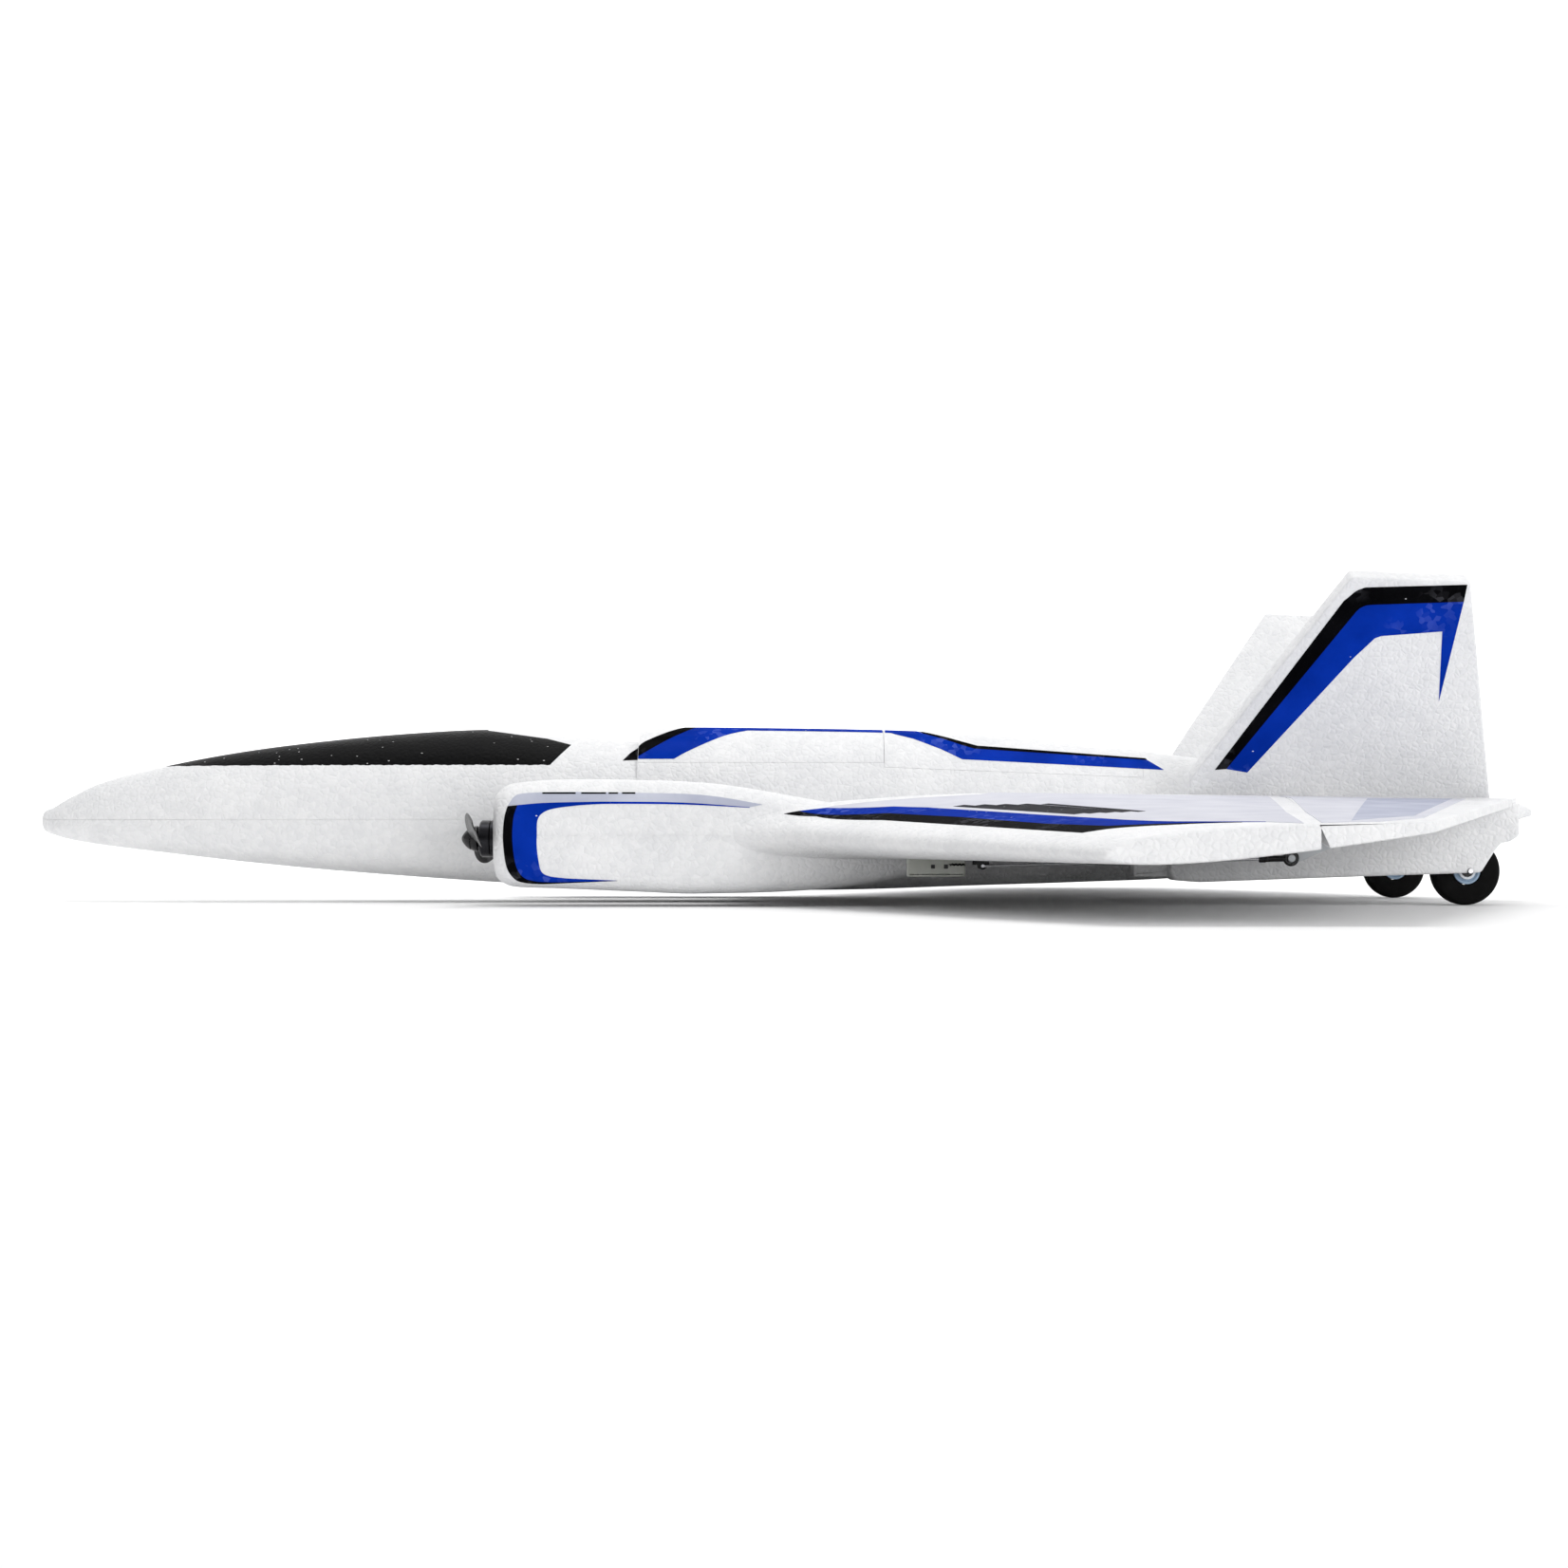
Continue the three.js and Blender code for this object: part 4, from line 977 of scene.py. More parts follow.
def add_motors():
    full = MOTOR_RADIUS
    front = [(0, AXIS), (0, 2.2), (0.4, 2.4), (0.4, 4.2), (0.1, 4.8), (0.3, 5.5), (0.8, full)]
    front += [(3.4, full), (3.6, full - 0.25), (3.8, full)]
    profile = [(MOTOR_FRONT_X + back, radius) for back, radius in front]
    profile += [(MOTOR_REAR_X - 0.6, full), (MOTOR_REAR_X, full - 0.6), (MOTOR_REAR_X, AXIS)]
    can = turned("can", profile, 64, on_thrust_line)
    vents = []
    for i in range(3):
        angle = 2 * math.pi * i / 3 + 0.5
        across, up = VENT_RING_RADIUS * math.cos(angle), VENT_RING_RADIUS * math.sin(angle)
        ends = (MOTOR_FRONT_X - 1, MOTOR_FRONT_X + 1.2)
        vents.append(bar("vent", "x", (NACELLE_Y + across, THRUST_Z + up), *ends, VENT_RADIUS))
    ends = (MOTOR_FRONT_X - 1, MOTOR_FRONT_X + 13)
    vents.append(bar("shaft", "x", (NACELLE_Y, THRUST_Z), *ends, SHAFT_RADIUS + FIT))
    pair(cut(can, *vents), "motor_can_turned", MOTOR_METAL, stands_for=["motor_can"])
    inner, outer, floor_x = MOUNT_INNER_RADIUS, MOUNT_OUTER_RADIUS, MOTOR_REAR_X + 0.3
    profile = [(MOUNT_FRONT_X, inner + 0.3), (MOUNT_FRONT_X, outer - 0.3)]
    profile += [(MOUNT_FRONT_X + 0.3, outer), (MOUNT_REAR_X - 0.3, outer)]
    profile += [(MOUNT_REAR_X, outer - 0.3), (MOUNT_REAR_X, 2), (floor_x, 2), (floor_x, inner)]
    profile += [(MOUNT_FRONT_X + 0.3, inner)]
    cup = ring_solid("cup", profile, 64, on_thrust_line)
    pair(cup, "motor_cup", BLACK_PLASTIC, stands_for=["motor_mount"])


def blade_rings():
    """One cambered blade along +Y: steep at the hub, flatter at its rounded tip, swept back."""
    middle_x = (HUB_FRONT_X + HUB_REAR_X) / 2
    chord_at = through([(2, 2), (6.6, 2.4), (9, 6.8), (16, 11.4), (23, 10.2), (PROP_RADIUS, 4)])
    rings = []
    sides = 28
    for radius in spread(2, 23, 22) + [24, 25, 26, 26.8, 27.4, 27.8, PROP_RADIUS]:
        pitch = math.atan2(BLADE_ADVANCE, radius) * 0.75 + 0.12
        swept = BLADE_RAKE * max(radius - MOTOR_RADIUS, 0)
        thickness = 0.62 - 0.012 * radius
        if radius > 26.5:
            thickness *= 0.7
        ring = []
        for i in range(sides):
            angle = 2 * math.pi * i / sides
            along = chord_at(radius) / 2 * math.cos(angle)
            camber = 0.35 * math.sin(angle) ** 2 * min(radius / 9, 1)
            thick = thickness * math.sin(angle) + camber - 0.17
            x = middle_x + swept - along * math.sin(pitch) - thick * math.cos(pitch)
            z = along * math.cos(pitch) - thick * math.sin(pitch)
            ring.append((x, radius, z))
        rings.append(ring)
    return rings


def add_propellers():
    profile = [(HUB_FRONT_X, AXIS), (HUB_FRONT_X, SPINNER_BASE_RADIUS), (HUB_FRONT_X + 0.6, 3.85)]
    profile += [(HUB_REAR_X - 0.8, HUB_RADIUS), (HUB_REAR_X - 0.2, HUB_RADIUS)]
    profile += [(HUB_REAR_X, HUB_RADIUS - 0.2), (HUB_REAR_X, AXIS)]
    hub = turned("hub", profile, 64, lambda x, a, b: (x, a, b))
    blade = blade_rings()
    opposite = [[(x, -y, -z) for x, y, z in ring] for ring in blade]
    join(hub, loft("blade", blade), loft("blade", opposite))
    cut(hub, bar("bore", "x", (0, 0), -102, -92, SHAFT_RADIUS + FIT))
    hub.data.transform(Matrix.Rotation(PROP_REST_TURN, 4, "X"))
    hub.data.transform(Matrix.Translation((0, NACELLE_Y * MM, THRUST_Z * MM)))
    pair(hub, "propeller_blades", BLACK_PLASTIC, "propeller", ["propeller"], 50)
    base = HUB_FRONT_X - 0.3
    nose = [(0, AXIS), (0.05, 0.45), (0.2, 0.85), (0.6, 1.5), (1.4, 2.5), (2.2, 3.15)]
    profile = [(SPINNER_TIP_X + back, radius) for back, radius in nose]
    profile += [(base - 0.1, SPINNER_BASE_RADIUS - 0.06), (base, SPINNER_BASE_RADIUS - 0.15)]
    spinner = turned("spinner", profile + [(base, AXIS)], 64, on_thrust_line)
    pair(spinner, "spinner_cone", BLACK_PLASTIC, "propeller", ["spinner_cap"])
    ends = (HUB_FRONT_X, HUB_FRONT_X + 11)
    shaft = bar("shaft", "x", (NACELLE_Y, THRUST_Z), *ends, SHAFT_RADIUS)
    pair(shaft, "shaft_rod", STEEL, "propeller", ["motor_shaft"])


# ---- wheels and pods ----
def add_pods():
    outline = [
        (124.3, 33), (124.3, 10.1), (126, 8.1), (134, 7.5), (187, 9.4), (224.6, 10.6),
        (228.8, 17.2), (231, 20), (234.2, 20.6), (237, 22.6), (237, 33),
    ]
    outline = round_inner_corners(outline, 1.0)
    pod = plate("pod", outline, POD_INNER_Y, POD_OUTER_Y, 1.0, seen_from_side)
    nose_low, nose_high = (POD_NOSE_X, POD_INNER_Y + 3, 9.2), (126, POD_OUTER_Y - 3, 33)
    join(pod, box_piece("nose", nose_low, nose_high, 0.8))
    well_low = (WHEEL_X - WHEEL_RADIUS - 1.5, WHEEL_Y - WHEEL_WELL / 2, 0)
    well = box_piece("well", well_low, (260, WHEEL_Y + WHEEL_WELL / 2, 2 * WHEEL_RADIUS + 1.4))
    axle_hole = bar("hole", "y", (WHEEL_X, WHEEL_RADIUS), POD_INNER_Y - 1, 63, AXLE_RADIUS + FIT)
    cut(pod, wing_solid("wing", SEAM), fuselage_solid("side", SEAM), well, axle_hole)
    pair(pod, "pod_block", FOAM, stands_for=["wheel_pod"])


def on_axle(along, a, b):
    return (WHEEL_X + a, WHEEL_Y + along, WHEEL_RADIUS + b)


def add_wheels():
    half = TYRE_WIDTH / 2
    bore = RIM_RADIUS + 0.1
    shoulder = WHEEL_RADIUS - TYRE_ROUND
    edge = [(half - 0.6, bore), (half - 0.1, bore + 0.35), (half, bore + 0.9), (half, shoulder)]
    section = [(-across, radius) for across, radius in edge]
    for i in range(1, 12):
        angle = math.pi * i / 12
        across = -half * signed_power(math.cos(angle), 0.7)
        section.append((across, shoulder + TYRE_ROUND * math.sin(angle) ** 0.7))
    section += edge[::-1]
    pair(ring_solid("tyre", section, 96, on_axle), "tyre_foam", RUBBER, "wheel", ["tyre"])
    rim = RIM_RADIUS - 0.1
    disc = [(0.83, -half), (1.75, -half), (1.9, -half + 0.2), (2.2, -half + 1), (3.2, -half + 1)]
    disc += [(3.5, -half + 0.4), (3.8, -half + 0.2), (rim - 0.15, -half + 0.2), (rim, -half + 0.35)]
    section = [(across, radius) for radius, across in disc]
    section += [(-across, radius) for radius, across in reversed(disc)]
    hub = ring_solid("hub", section, 72, on_axle)
    pair(hub, "hub_disc", HUB_PLASTIC, "wheel", ["wheel_hub"])
    for name, inner, outer, back, stand, material, slot in (
        ("hub_ring", 1.95, 2.7, half - 1.1, half + 0.2, HUB_WHITE, "hub_plastic"),
        ("hub_boss", 0.83, 1.9, half - 0.4, half + 0.4, BLACK_PLASTIC, "black_plastic"),
    ):
        collar = [(back, inner), (stand, inner), (stand + 0.1, inner + 0.1)]
        collar += [(stand + 0.1, outer - 0.1), (stand, outer), (back, outer)]
        pair(ring_solid(name, collar, 48, on_axle), name, material, "wheel")
    ends = (POD_INNER_Y - 0.6, POD_OUTER_Y + 0.6)
    axle = bar("axle", "y", (WHEEL_X, WHEEL_RADIUS), *ends, AXLE_RADIUS, 32)
    pair(axle, "axle_rod", STEEL, stands_for=["wheel_axle"])


# ---- elevon drive ----
HORN_HOLE = Vector((hinge_x(ROD_Y), ROD_Y, HORN_HOLE_Z))
ARM_HOLE = Vector((SERVO_SHAFT_X, ROD_Y, SERVO_SHAFT_Z - SERVO_ARM))


def side_plate(name, outline, low, high, rounding):
    return plate(name, outline, low, high, rounding, seen_from_side, 3)


def add_horns():
    low = HORN_INNER_Y
    x, z = HORN_HOLE.x, HORN_HOLE.z
    outline = [
        (x - 1.9, z + 0.8), (x - 1.2, z - 1.6), (x + 1.2, z - 1.7), (x + 17, 20.5),
        (x + 17, 26), (x + 6.4, 26), (x + 5.6, 19.4),
    ]
    horn = side_plate("horn", outline, low, low + HORN_THICKNESS, 0.25)
    lightening = bar("hole", "y", (x + 8.5, 21), low - 1, low + 3, 1.1)
    cut(horn, wing_solid("wing", SEAM), lightening)
    join(horn, bar("pin", "y", (x, z), low + 0.5, low + 4.1, 1.05))
    pair(horn, "horn_plate", PALE_PLASTIC, "elevon", ["control_horn"])


def add_pushrods():
    direction = (ARM_HOLE - HORN_HOLE).normalized()
    sideways = Vector((0, 1, 0))

    def along_rod(name, start, end, radius, sides=24):
        return rod(name, HORN_HOLE + direction * start, HORN_HOLE + direction * end, radius, sides)

    ring = [(-0.8, 1.3), (-0.8, 2.0), (-0.5, 2.35), (0, 2.4), (0.5, 2.35), (0.8, 2.0), (0.8, 1.3)]
    eye = ring_solid("eye", ring, 64, lambda along, a, b: HORN_HOLE + Vector((a, along, b)))
    neck = along_rod("neck", 1.7, 9.6, 0.95, 32)
    collar = along_rod("collar", 7.6, 9.4, 1.1, 32)
    cut(join(eye, neck, collar), along_rod("bore", 5, 12, ROD_RADIUS + 0.1))
    cut(eye, rod("hole", HORN_HOLE - sideways * 3, HORN_HOLE + sideways * 3, 1.3, 48))
    pair(eye, "rod_end", BLACK_PLASTIC, "pushrod", ["pushrod_eye"])
    wire = rod("wire", HORN_HOLE + direction * 5.4, ARM_HOLE, ROD_RADIUS)
    bent_end = rod("end", ARM_HOLE - sideways * 0.8, ARM_HOLE + sideways * ROD_RADIUS, ROD_RADIUS)
    pair(join(wire, bent_end), "rod_wire", STEEL, "pushrod", ["pushrod_wire"])


def add_servos():
    low, high = SERVO_INNER_Y, SERVO_OUTER_Y
    front, rear = SERVO_FRONT_X, SERVO_REAR_X
    case, head = servo_blocks(0, SERVO_BOTTOM_Z, 15.8, 0.6)
    for side_y in (low, high):
        cut(case, box_piece("groove", (front - 1, side_y - 0.15, 13.9), (rear + 1, side_y + 0.15, 14.2)))
    join(case, head)
    screws = []
    for x in (front + 1.5, rear - 1.5):
        for y in (low + 1.5, high - 1.5):
            screws.append(bar("screw", "z", (x, y), SERVO_BOTTOM_Z - 1, SERVO_BOTTOM_Z + 0.5, 0.65))
    cut(case, *screws)
    pair(case, "servo_body", SERVO_PLASTIC_PAINTED_SHADE, stands_for=["servo_case"])
    studs = []
    for x in (46.2, 50.1):
        studs.append(box_piece("stud", (x - 0.6, high - 0.3, 12.5), (x + 0.6, high + 0.15, 13.7)))
    pair(join(*studs), "servo_studs", BLACK_PLASTIC)
    teeth = [(50.9, 13.9), (55.9, 13.9), (55.9, 13.2)]
    teeth += [(55.3 - i * 0.55, 13.2 if i % 2 else 13.6) for i in range(8)]
    clip = side_plate("clip", teeth, high - 0.3, high + 0.2, 0.05)
    pair(clip, "servo_clip", BLACK_PLASTIC)
    add_servo_arm(SERVO_SHAFT_X, SERVO_SHAFT_Z, high + 0.3)


def add_servo_arm(x, z, inner):
    tip = z - SERVO_ARM - 1.2
    outline = [
        (x - 2.2, z), (x - 1.5, tip + 0.6), (x, tip), (x + 1.5, tip + 0.6),
        (x + 2.2, z), (x + 1.4, z + 1.9), (x - 1.4, z + 1.9),
    ]
    arm = side_plate("arm", round_corners(outline, 0.5), inner, inner + 1, 0.2)
    join(arm, bar("boss", "y", (x, z), inner, inner + 1.7, 2.4, 40))
    join(arm, box_piece("keeper", (x - 3, inner + 0.2, z - 6.6), (x + 2, inner + 0.9, z - 4.9), 0.15))
    holes = [bar("screw", "y", (x, z), inner + 1, inner + 3, 0.8)]
    for drop in (SERVO_ARM, SERVO_ARM - 2.2, SERVO_ARM - 4.1):
        holes.append(bar("hole", "y", (x, z - drop), inner - 2, inner + 3, 0.45))
    pair(cut(arm, *holes), "servo_lever", BLACK_PLASTIC, "servo_arm", ["servo_arm"])


# ---- inside the fuselage ----
def dress(name, material, bevel):
    """Keeps a CAD node, with softened edges and its own material."""
    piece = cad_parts[name]
    piece.data.materials.clear()
    piece.data.materials.append(material)
    weld = piece.modifiers.new("weld", "WELD")
    weld.merge_threshold = 0.00001
    rim = piece.modifiers.new("rim", "BEVEL")
    rim.width = bevel * MM
    rim.segments = 3
    rim.limit_method = "ANGLE"


def add_insides():
    low, high = [[value / MM for value in corner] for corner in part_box("battery")]
    battery = box_piece("battery", low, high, 1.6)
    settle(battery, "battery_pack", "airframe", BATTERY_WRAP, ["battery"])
    for name, material, bevel in (
        ("battery_tray", PLYWOOD, 0.2),
        ("battery_strap", STRAP, 0.3),
        ("receiver_board", BOARD, 0.25),
        ("wing_spar", CARBON, 0.1),
        ("hatch_magnet", MAGNET, 0.15),
        ("frame_magnet", MAGNET, 0.15),
        ("right_speed_controller", BOARD, 0.2),
        ("left_speed_controller", BOARD, 0.2),
    ):
        dress(name, material, bevel)


# ---- printed films ----
def film(name, outline, surface, spacing, outward=(0, 1, 0), lift=FILM_LIFT):
    """A thin sheet laid over a surface; surface maps (u, v) to a point."""
    shape = bmesh.new()
    corners = [shape.verts.new((u, v, 0)) for u, v in outline]
    for triangle in tessellate_polygon([[vert.co for vert in corners]]):
        shape.faces.new([corners[i] for i in triangle])
    for axis, step in enumerate(spacing):
        values = [vert.co[axis] for vert in shape.verts]
        line = (math.floor(min(values) / step) + 0.5) * step
        direction = Vector((1 - axis, axis, 0))
        while line < max(values):
            everything = shape.verts[:] + shape.edges[:] + shape.faces[:]
            bmesh.ops.bisect_plane(shape, geom=everything, plane_co=direction * line, plane_no=direction)
            line += step
    bmesh.ops.remove_doubles(shape, verts=shape.verts[:], dist=0.001)
    shape.verts.index_update()
    flat = [(vert.co.x, vert.co.y) for vert in shape.verts]
    faces = [[vert.index for vert in face.verts] for face in shape.faces]
    rims = [(edge.verts[0].index, edge.verts[1].index) for edge in shape.edges if edge.is_boundary]
    shape.free()
    points = [raised(surface, u, v, outward, lift) for u, v in flat]
    points += [raised(surface, u, v, outward, -0.1) for u, v in flat]
    count = len(flat)
    closed = faces + [[i + count for i in face] for face in faces]
    closed += [(a, b, b + count, a + count) for a, b in rims]
    return make(name, points, closed)


def raised(surface, u, v, outward, lift):
    """A point lifted along the surface's own normal."""
    here = Vector(surface(u, v))
    normal = (Vector(surface(u + 0.02, v)) - here).cross(Vector(surface(u, v + 0.02)) - here).normalized()
    return here + normal * math.copysign(lift, lift * normal.dot(Vector(outward)))


def finer(outline, step=1.5):
    """The same closed outline with more points along its sides."""
    fine = []
    for a, b in zip(outline, outline[1:] + outline[:1]):
        count = max(int((Vector(b) - Vector(a)).length / step), 1)
        fine += [Vector(a).lerp(Vector(b), i / count) for i in range(count)]
    return fine


# ---- films on the spine, drawn in side view ----
CROWN = 0.12  # how far below the crown they stop


def hull_angle(x, z):
    """How far round the upper fuselage section a height lies."""
    t = min(max((z - PARTING_Z) / (top_line(x) - PARTING_Z), 0), 1)
    return math.degrees(math.asin(t ** (SECTION_TOP_POWER / 2)))


def on_hull(x, angle):
    """A point on the fuselage's upper side by its angle round the section."""
    across = max(math.cos(math.radians(angle)), 0) ** (2 / SECTION_TOP_POWER)
    up = max(math.sin(math.radians(angle)), 0) ** (2 / SECTION_TOP_POWER)
    return (x, across * half_width(x), PARTING_Z + up * (top_line(x) - PARTING_Z))


def hull_film(name, outline, material, body="airframe"):
    wrapped = [(x, hull_angle(x, z)) for x, z in finer(outline)]
    piece = film(name, wrapped, on_hull, (2.5, 2.5), (0, 1, 0.3))
    twin = mirrored(piece)
    settle(piece, f"right_{name}", body, material, crease=50)
    settle(twin, f"left_{name}", body, material, crease=50)


def crown_point(x, below=CROWN):
    return (x, spine_top(x) - below)


def crown(start, end, count, below=CROWN):
    return [crown_point(x, below) for x in spread(start, end, count)]


def add_spine_films():
    front = HATCH_FRONT_X + 0.1
    step = HATCH_FRONT_X - 0.15
    outer = bend([(front, 52.7), (-47.2, 54.5), (-40.2, 57.7), crown_point(-34.5)])
    middle = bend([(front, 49.2), (-40.2, 54.7), (-34, 57.9), crown_point(-30.3)])
    inner = bend([(-37.3, 48.4), (-31.6, 51.6), (-20.7, 56.5), crown_point(-13, 1.2)])
    thin = HATCH_REAR_X - 0.2
    black = outer + crown(-34, -31, 4) + middle[::-1]
    blue = middle + crown(-29.5, thin, 30) + crown(thin, -12, 26, 1.2) + inner[::-1] + [(front, 48.4)]
    hull_film("spine_black_front", black, FILM_BLACK, "battery_hatch")
    hull_film("spine_blue_front", blue, FILM_BLUE, "battery_hatch")
    hull_film("spine_black_foot", [(-54.6, 47.9), (-52.2, 50.6), (step, 52.4), (step, 48.1)], FILM_BLACK)
    start = HATCH_REAR_X + 0.6
    edge = bend([(47, 57.3), (54.1, 55.2), (59.5, 53.3), (64, 51.9)])
    tail = [(123, 48.1), (128.1, 44.8)]
    lower = [(59.8, 48.3), (52.8, 51.8), (43.5, 55.5), (37.5, 57.1)]
    blue = crown(start, 45, 8) + edge + tail + lower + crown(36, start, 2, 1.2)
    hull_film("spine_blue_rear", blue, FILM_BLUE)
    top = bend([crown_point(46), (54.1, 56.2), (59.5, 54.6), (65.1, 53)])
    hull_film("spine_black_rear", top + [(122.5, 48.8), (122.9, 48.15)] + edge[::-1], FILM_BLACK)


# ---- films on the nacelle's outer side, drawn in side view ----
def on_nacelle(x, z):
    top, bottom = nacelle_top(x), nacelle_bottom(x)
    s = abs((2 * z - top - bottom) / (top - bottom))
    across = max(1 - s ** (2 / NACELLE_POWER), 0) ** (NACELLE_POWER / 2)
    return (x, NACELLE_Y + nacelle_half(x) * across, z)


def nacelle_film(name, outline, material, lift=FILM_LIFT):
    piece = film(name, finer(outline, 2), on_nacelle, (2, 2), (0, 1, 0), lift)
    pair(piece, name, material, crease=50)


def add_nacelle_films():
    rim = bend([
        (-85.8, 31.7), (-86.8, 28.2), (-87.3, 22.5), (-86.9, 16.8), (-86.1, 12.5), (-84.6, 9.7),
        (-82.3, 8), (-76.6, 7.3), (-67.1, 7.6), (-51.5, 8.3),
    ], 4)
    middle = bend([
        (-82.7, 32), (-83.9, 28.2), (-84.3, 22.5), (-83.9, 16.8), (-83, 12.5), (-81.3, 9.7),
        (-78.5, 8.4), (-71.9, 7.9), (-51.8, 8.35),
    ], 4)
    window = bend([
        (-67.1, 9), (-72.8, 9.7), (-75.2, 11.1), (-76, 14), (-76.6, 18.7), (-76.6, 22.5), (-76.4, 27.2),
        (-74.7, 29.6), (-70.9, 31), (-62.4, 32), (-52.9, 32.4), (-30.7, 32.2), (-9.9, 31.2),
    ], 4)
    stripe = bend([(-10.1, 31.35), (-30.7, 32.8), (-53, 33.1), (-62.5, 33), (-74.7, 32.7), (-82.7, 32)], 4)
    nacelle_film("nacelle_black", rim + middle[::-1], FILM_BLACK)
    nacelle_film("nacelle_blue", middle + window + stripe[:-1], FILM_BLUE)
    # The band over the nacelle's top is a real clear film; its grey tone is painted reflection of the film
    # seen at a grazing angle
    upper = [(-84.3, 34.2), (-81.5, 35.6), (-70, 36.1), (-50, 35.9), (-25, 35.2), (-6, 32.2)]
    nacelle_film("nacelle_grey_reflection", [(-85.7, 31.9)] + bend(upper, 4) + stripe[:-1], GREY_FILM_AND_PAINTED_REFLECTION)
    for i, (start, end) in enumerate([(-75, -64.5), (-62.8, -55), (-54.2, -51.2), (-50, -45.8)]):
        dash = [(start, 35.5), (end, 35.5), (end, 36), (start, 36)]
        nacelle_film(f"nacelle_dash_{i}", dash, FILM_BLACK, FILM_LIFT + 0.04)
    ridge = [(-76.2, 22.5), (-10, 22.4), (-10, 22.65), (-76.2, 22.75)]
    nacelle_film("nacelle_ridge", ridge, FOAM, 0.3)


# ---- films on the fin's outer face, by distance along and height up the fin ----
def on_fin(x, height):
    return fin_point(x, height, FIN_THICKNESS / 2)


def add_fin_films():
    rim = [(140.8, 10.9), (176.7, 70.9)] + bend([(178.1, 72.2), (180.3, 74.3), (183.1, 75.5)], 4)
    rim += [(214.8, 76.4)]
    middle = [(144.5, 11.2), (181, 67.3)] + bend([(182, 68.4), (183.8, 69.3), (186.4, 69.6)], 4)
    middle += [(214.4, 70.6)]
    lower = [(208.9, 60.4), (189.7, 58.8)] + bend([(187.8, 58), (184.5, 54.2), (182.1, 51.5)], 4)
    lower += [(151.4, 9.9)]
    spike = [(214.4, 70.6), (210.8, 35.7)]
    for name, outline, material in (
        ("fin_black", rim + middle[::-1], FILM_BLACK),
        ("fin_blue", middle[:-1] + spike + lower, FILM_BLUE),
    ):
        pair(film(name, outline, on_fin, (4, 4)), name, material, crease=50)


# ---- films on the wing's upper skin, drawn in plan ----
def on_wing(x, y):
    return (x, y, skin_z(x, y, 1))


def wing_film(name, outline, material, body=None, lift=FILM_LIFT, spacing=(4, 4)):
    piece = film(name, finer(outline, 4), on_wing, spacing, (0, 0, 1), lift)
    pair(piece, name, material, body=body, crease=50)


def add_wing_films():
    tip = (123.9, 236.5)
    front = [(0.9, 79.1), (11, 87.4), (30.8, 120.6), (58.1, 177.6), (71.3, 205.3), (79.5, 222.2)]
    corner = bend([(82.5, 222.6), (89.1, 223.4), (102.9, 229.3), tip], 3)
    middle = [(5.6, 79.3), (32.8, 108.6), (52, 146.2), (72.4, 191.8), (86.6, 216.4), (103.2, 226.6)]
    rear = [(14.1, 80.5), (34.9, 93.8), (44.6, 107.7), (60.5, 140.2), (74.4, 169.2), (87.4, 194.4)]
    rear += bend([(92.7, 205), (103.9, 221.3), (123.6, 236.2)], 3)
    wing_film("wing_black", front + corner[:-1] + middle[::-1], FILM_BLACK, spacing=(1.6, 3))
    wing_film("wing_blue", middle + [tip] + rear[::-1], FILM_BLUE, spacing=(1.6, 3))
    hinge_side = [(131.2, 247), (136.6, 194.5), (150.9, 91.6), (154.5, 66)]
    clear = rear + hinge_side + [(76, 66), (62, 79.5), (15.5, 79.5)]
    wing_film("wing_clear", clear, FILM_CLEAR)
    for i in range(5):
        start = Vector((52 + i * 6.2, 114 + i * 4.5))
        along = Vector((30 - i * 2, 62 - i * 3))
        across = Vector((3.4 - i * 0.3, -1.8))
        bar = [start, start + along, start + along + across, start + across]
        wing_film(f"wing_bar_{i}", bar, FILM_DARK, lift=FILM_LIFT + 0.05)
    clear = [(158.3, 66), (157.8, 88.1), (141.8, 194.7), (135.6, 247), (150, 247)]
    clear += [(165.5, 226.5), (217.5, 66)]
    wing_film("elevon_clear", clear, FILM_CLEAR, "elevon")
    panel = [(183.4, 79.2), (212.6, 68.5), (165.8, 215), (144.1, 241.2)]
    wing_film("elevon_panel_film", panel, GREY_FILM_AND_PAINTED_REFLECTION, "elevon", FILM_LIFT + 0.05)


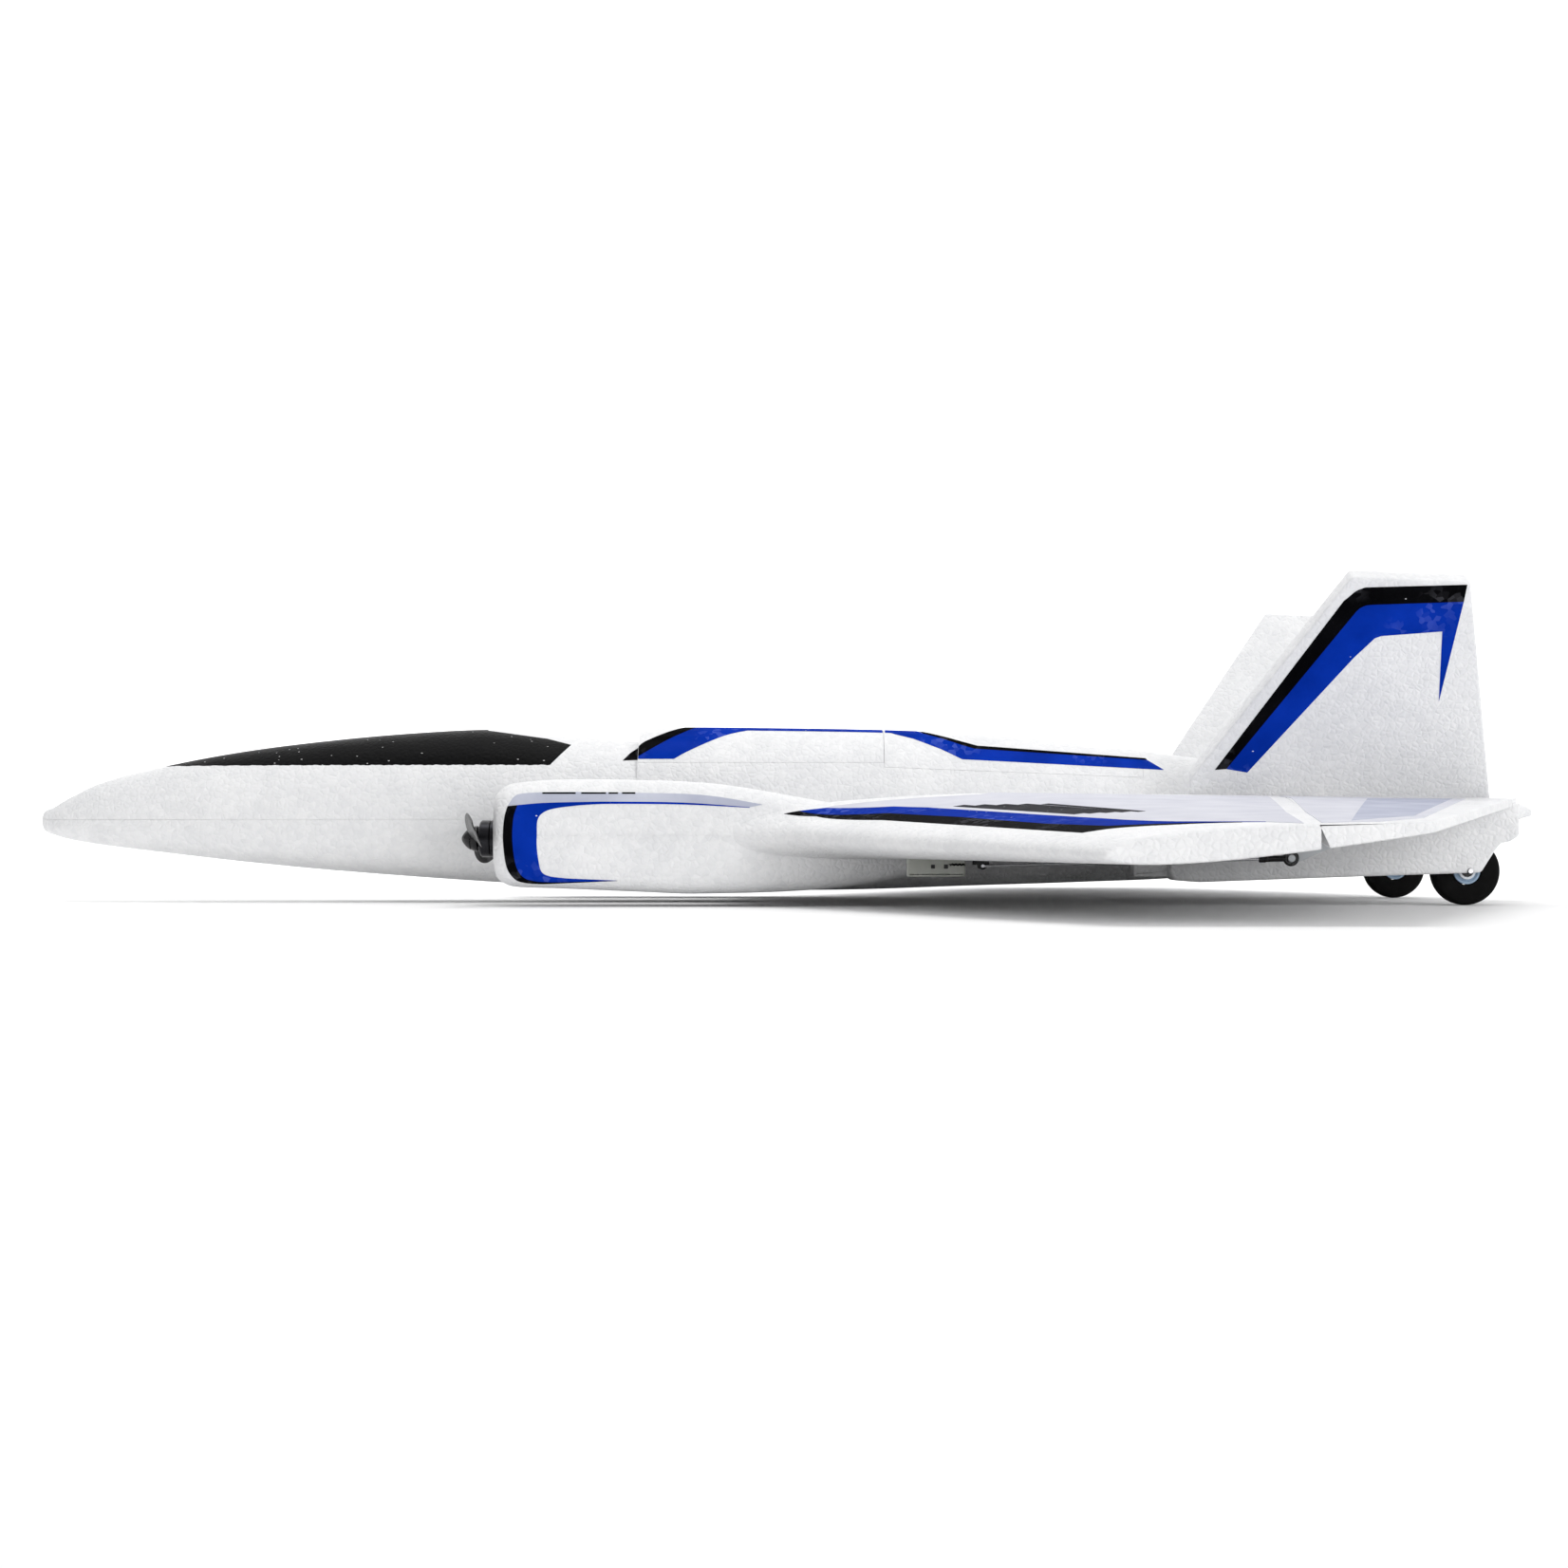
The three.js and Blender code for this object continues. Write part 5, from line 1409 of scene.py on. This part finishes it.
# ---- the stage ----
def add_stage():
    look = Look("pale_floor", Roughness=0.9, Specular_IOR_Level=0.1)
    look.paint(look.noise(400, 2), (0.93,) * 3, (0.95,) * 3)
    back, sweep = 1400, 900
    profile = [(-3000, 0), (back, 0)]
    for i in range(1, 13):
        angle = math.pi / 2 * i / 12
        profile.append((back + sweep * math.sin(angle), sweep - sweep * math.cos(angle)))
    profile.append((back + sweep, 3200))
    points = [(x, y, z) for x in (-5000, 5000) for y, z in profile]
    count = len(profile)
    faces = [(i, i + 1, i + 1 + count, i + count) for i in range(count - 1)]
    floor = make("floor", points, faces)
    floor.data.materials.append(look.material)
    floor.data.shade_smooth()


def area_light(name, place, aim, size, power):
    lamp = bpy.data.lights.new(name, "AREA")
    lamp.shape = "RECTANGLE"
    lamp.size, lamp.size_y = size
    lamp.energy = power
    light = new_object(name, lamp)
    light.location = place
    light.rotation_euler = (Vector(aim) - Vector(place)).to_track_quat("-Z", "Y").to_euler()
    light.visible_camera = False


def add_lights():
    world = bpy.data.worlds.new("studio")
    bpy.context.scene.world = world
    world.use_nodes = True
    sky = world.node_tree.nodes["Background"].inputs
    sky["Color"].default_value = (1, 1, 1, 1)
    sky["Strength"].default_value = 0.56
    area_light("overhead", (0, -0.1, 1.9), (0, 0, 0), (1.6, 0.9), 14.5)
    area_light("tail_key", (1.3, -1.6, 0.7), (0.15, 0, 0.03), (1.0, 0.7), 10)
    area_light("low_fill", (0.55, -1.2, 0.12), (0.15, 0, 0.03), (0.8, 0.16), 1.6)
    area_light("backdrop", (0, 0.9, 1.6), (0, 2.3, 0.5), (5, 0.8), 60)
    bpy.context.scene.view_settings.view_transform = "Standard"


def add_camera():
    """Level with the middle of the plane, square to its left side."""
    lens = bpy.data.cameras.new("camera")
    lens.sensor_width = 36
    lens.lens = 56.59
    lens.shift_x = -0.02966
    lens.shift_y = 0.0357
    lens.clip_start = 0.01
    camera = new_object("camera", lens)
    camera.location = (0.0154, -0.850, 0.0211)
    camera.rotation_euler = (math.pi / 2, 0, 0)
    bpy.context.scene.camera = camera


add_camera()
add_stage()
add_lights()
add_fuselage()
add_wings()
add_elevons()
add_fins()
add_nacelles()
add_motors()
add_propellers()
add_pods()
add_wheels()
add_horns()
add_pushrods()
add_servos()
add_insides()
add_spine_films()
add_nacelle_films()
add_fin_films()
add_wing_films()
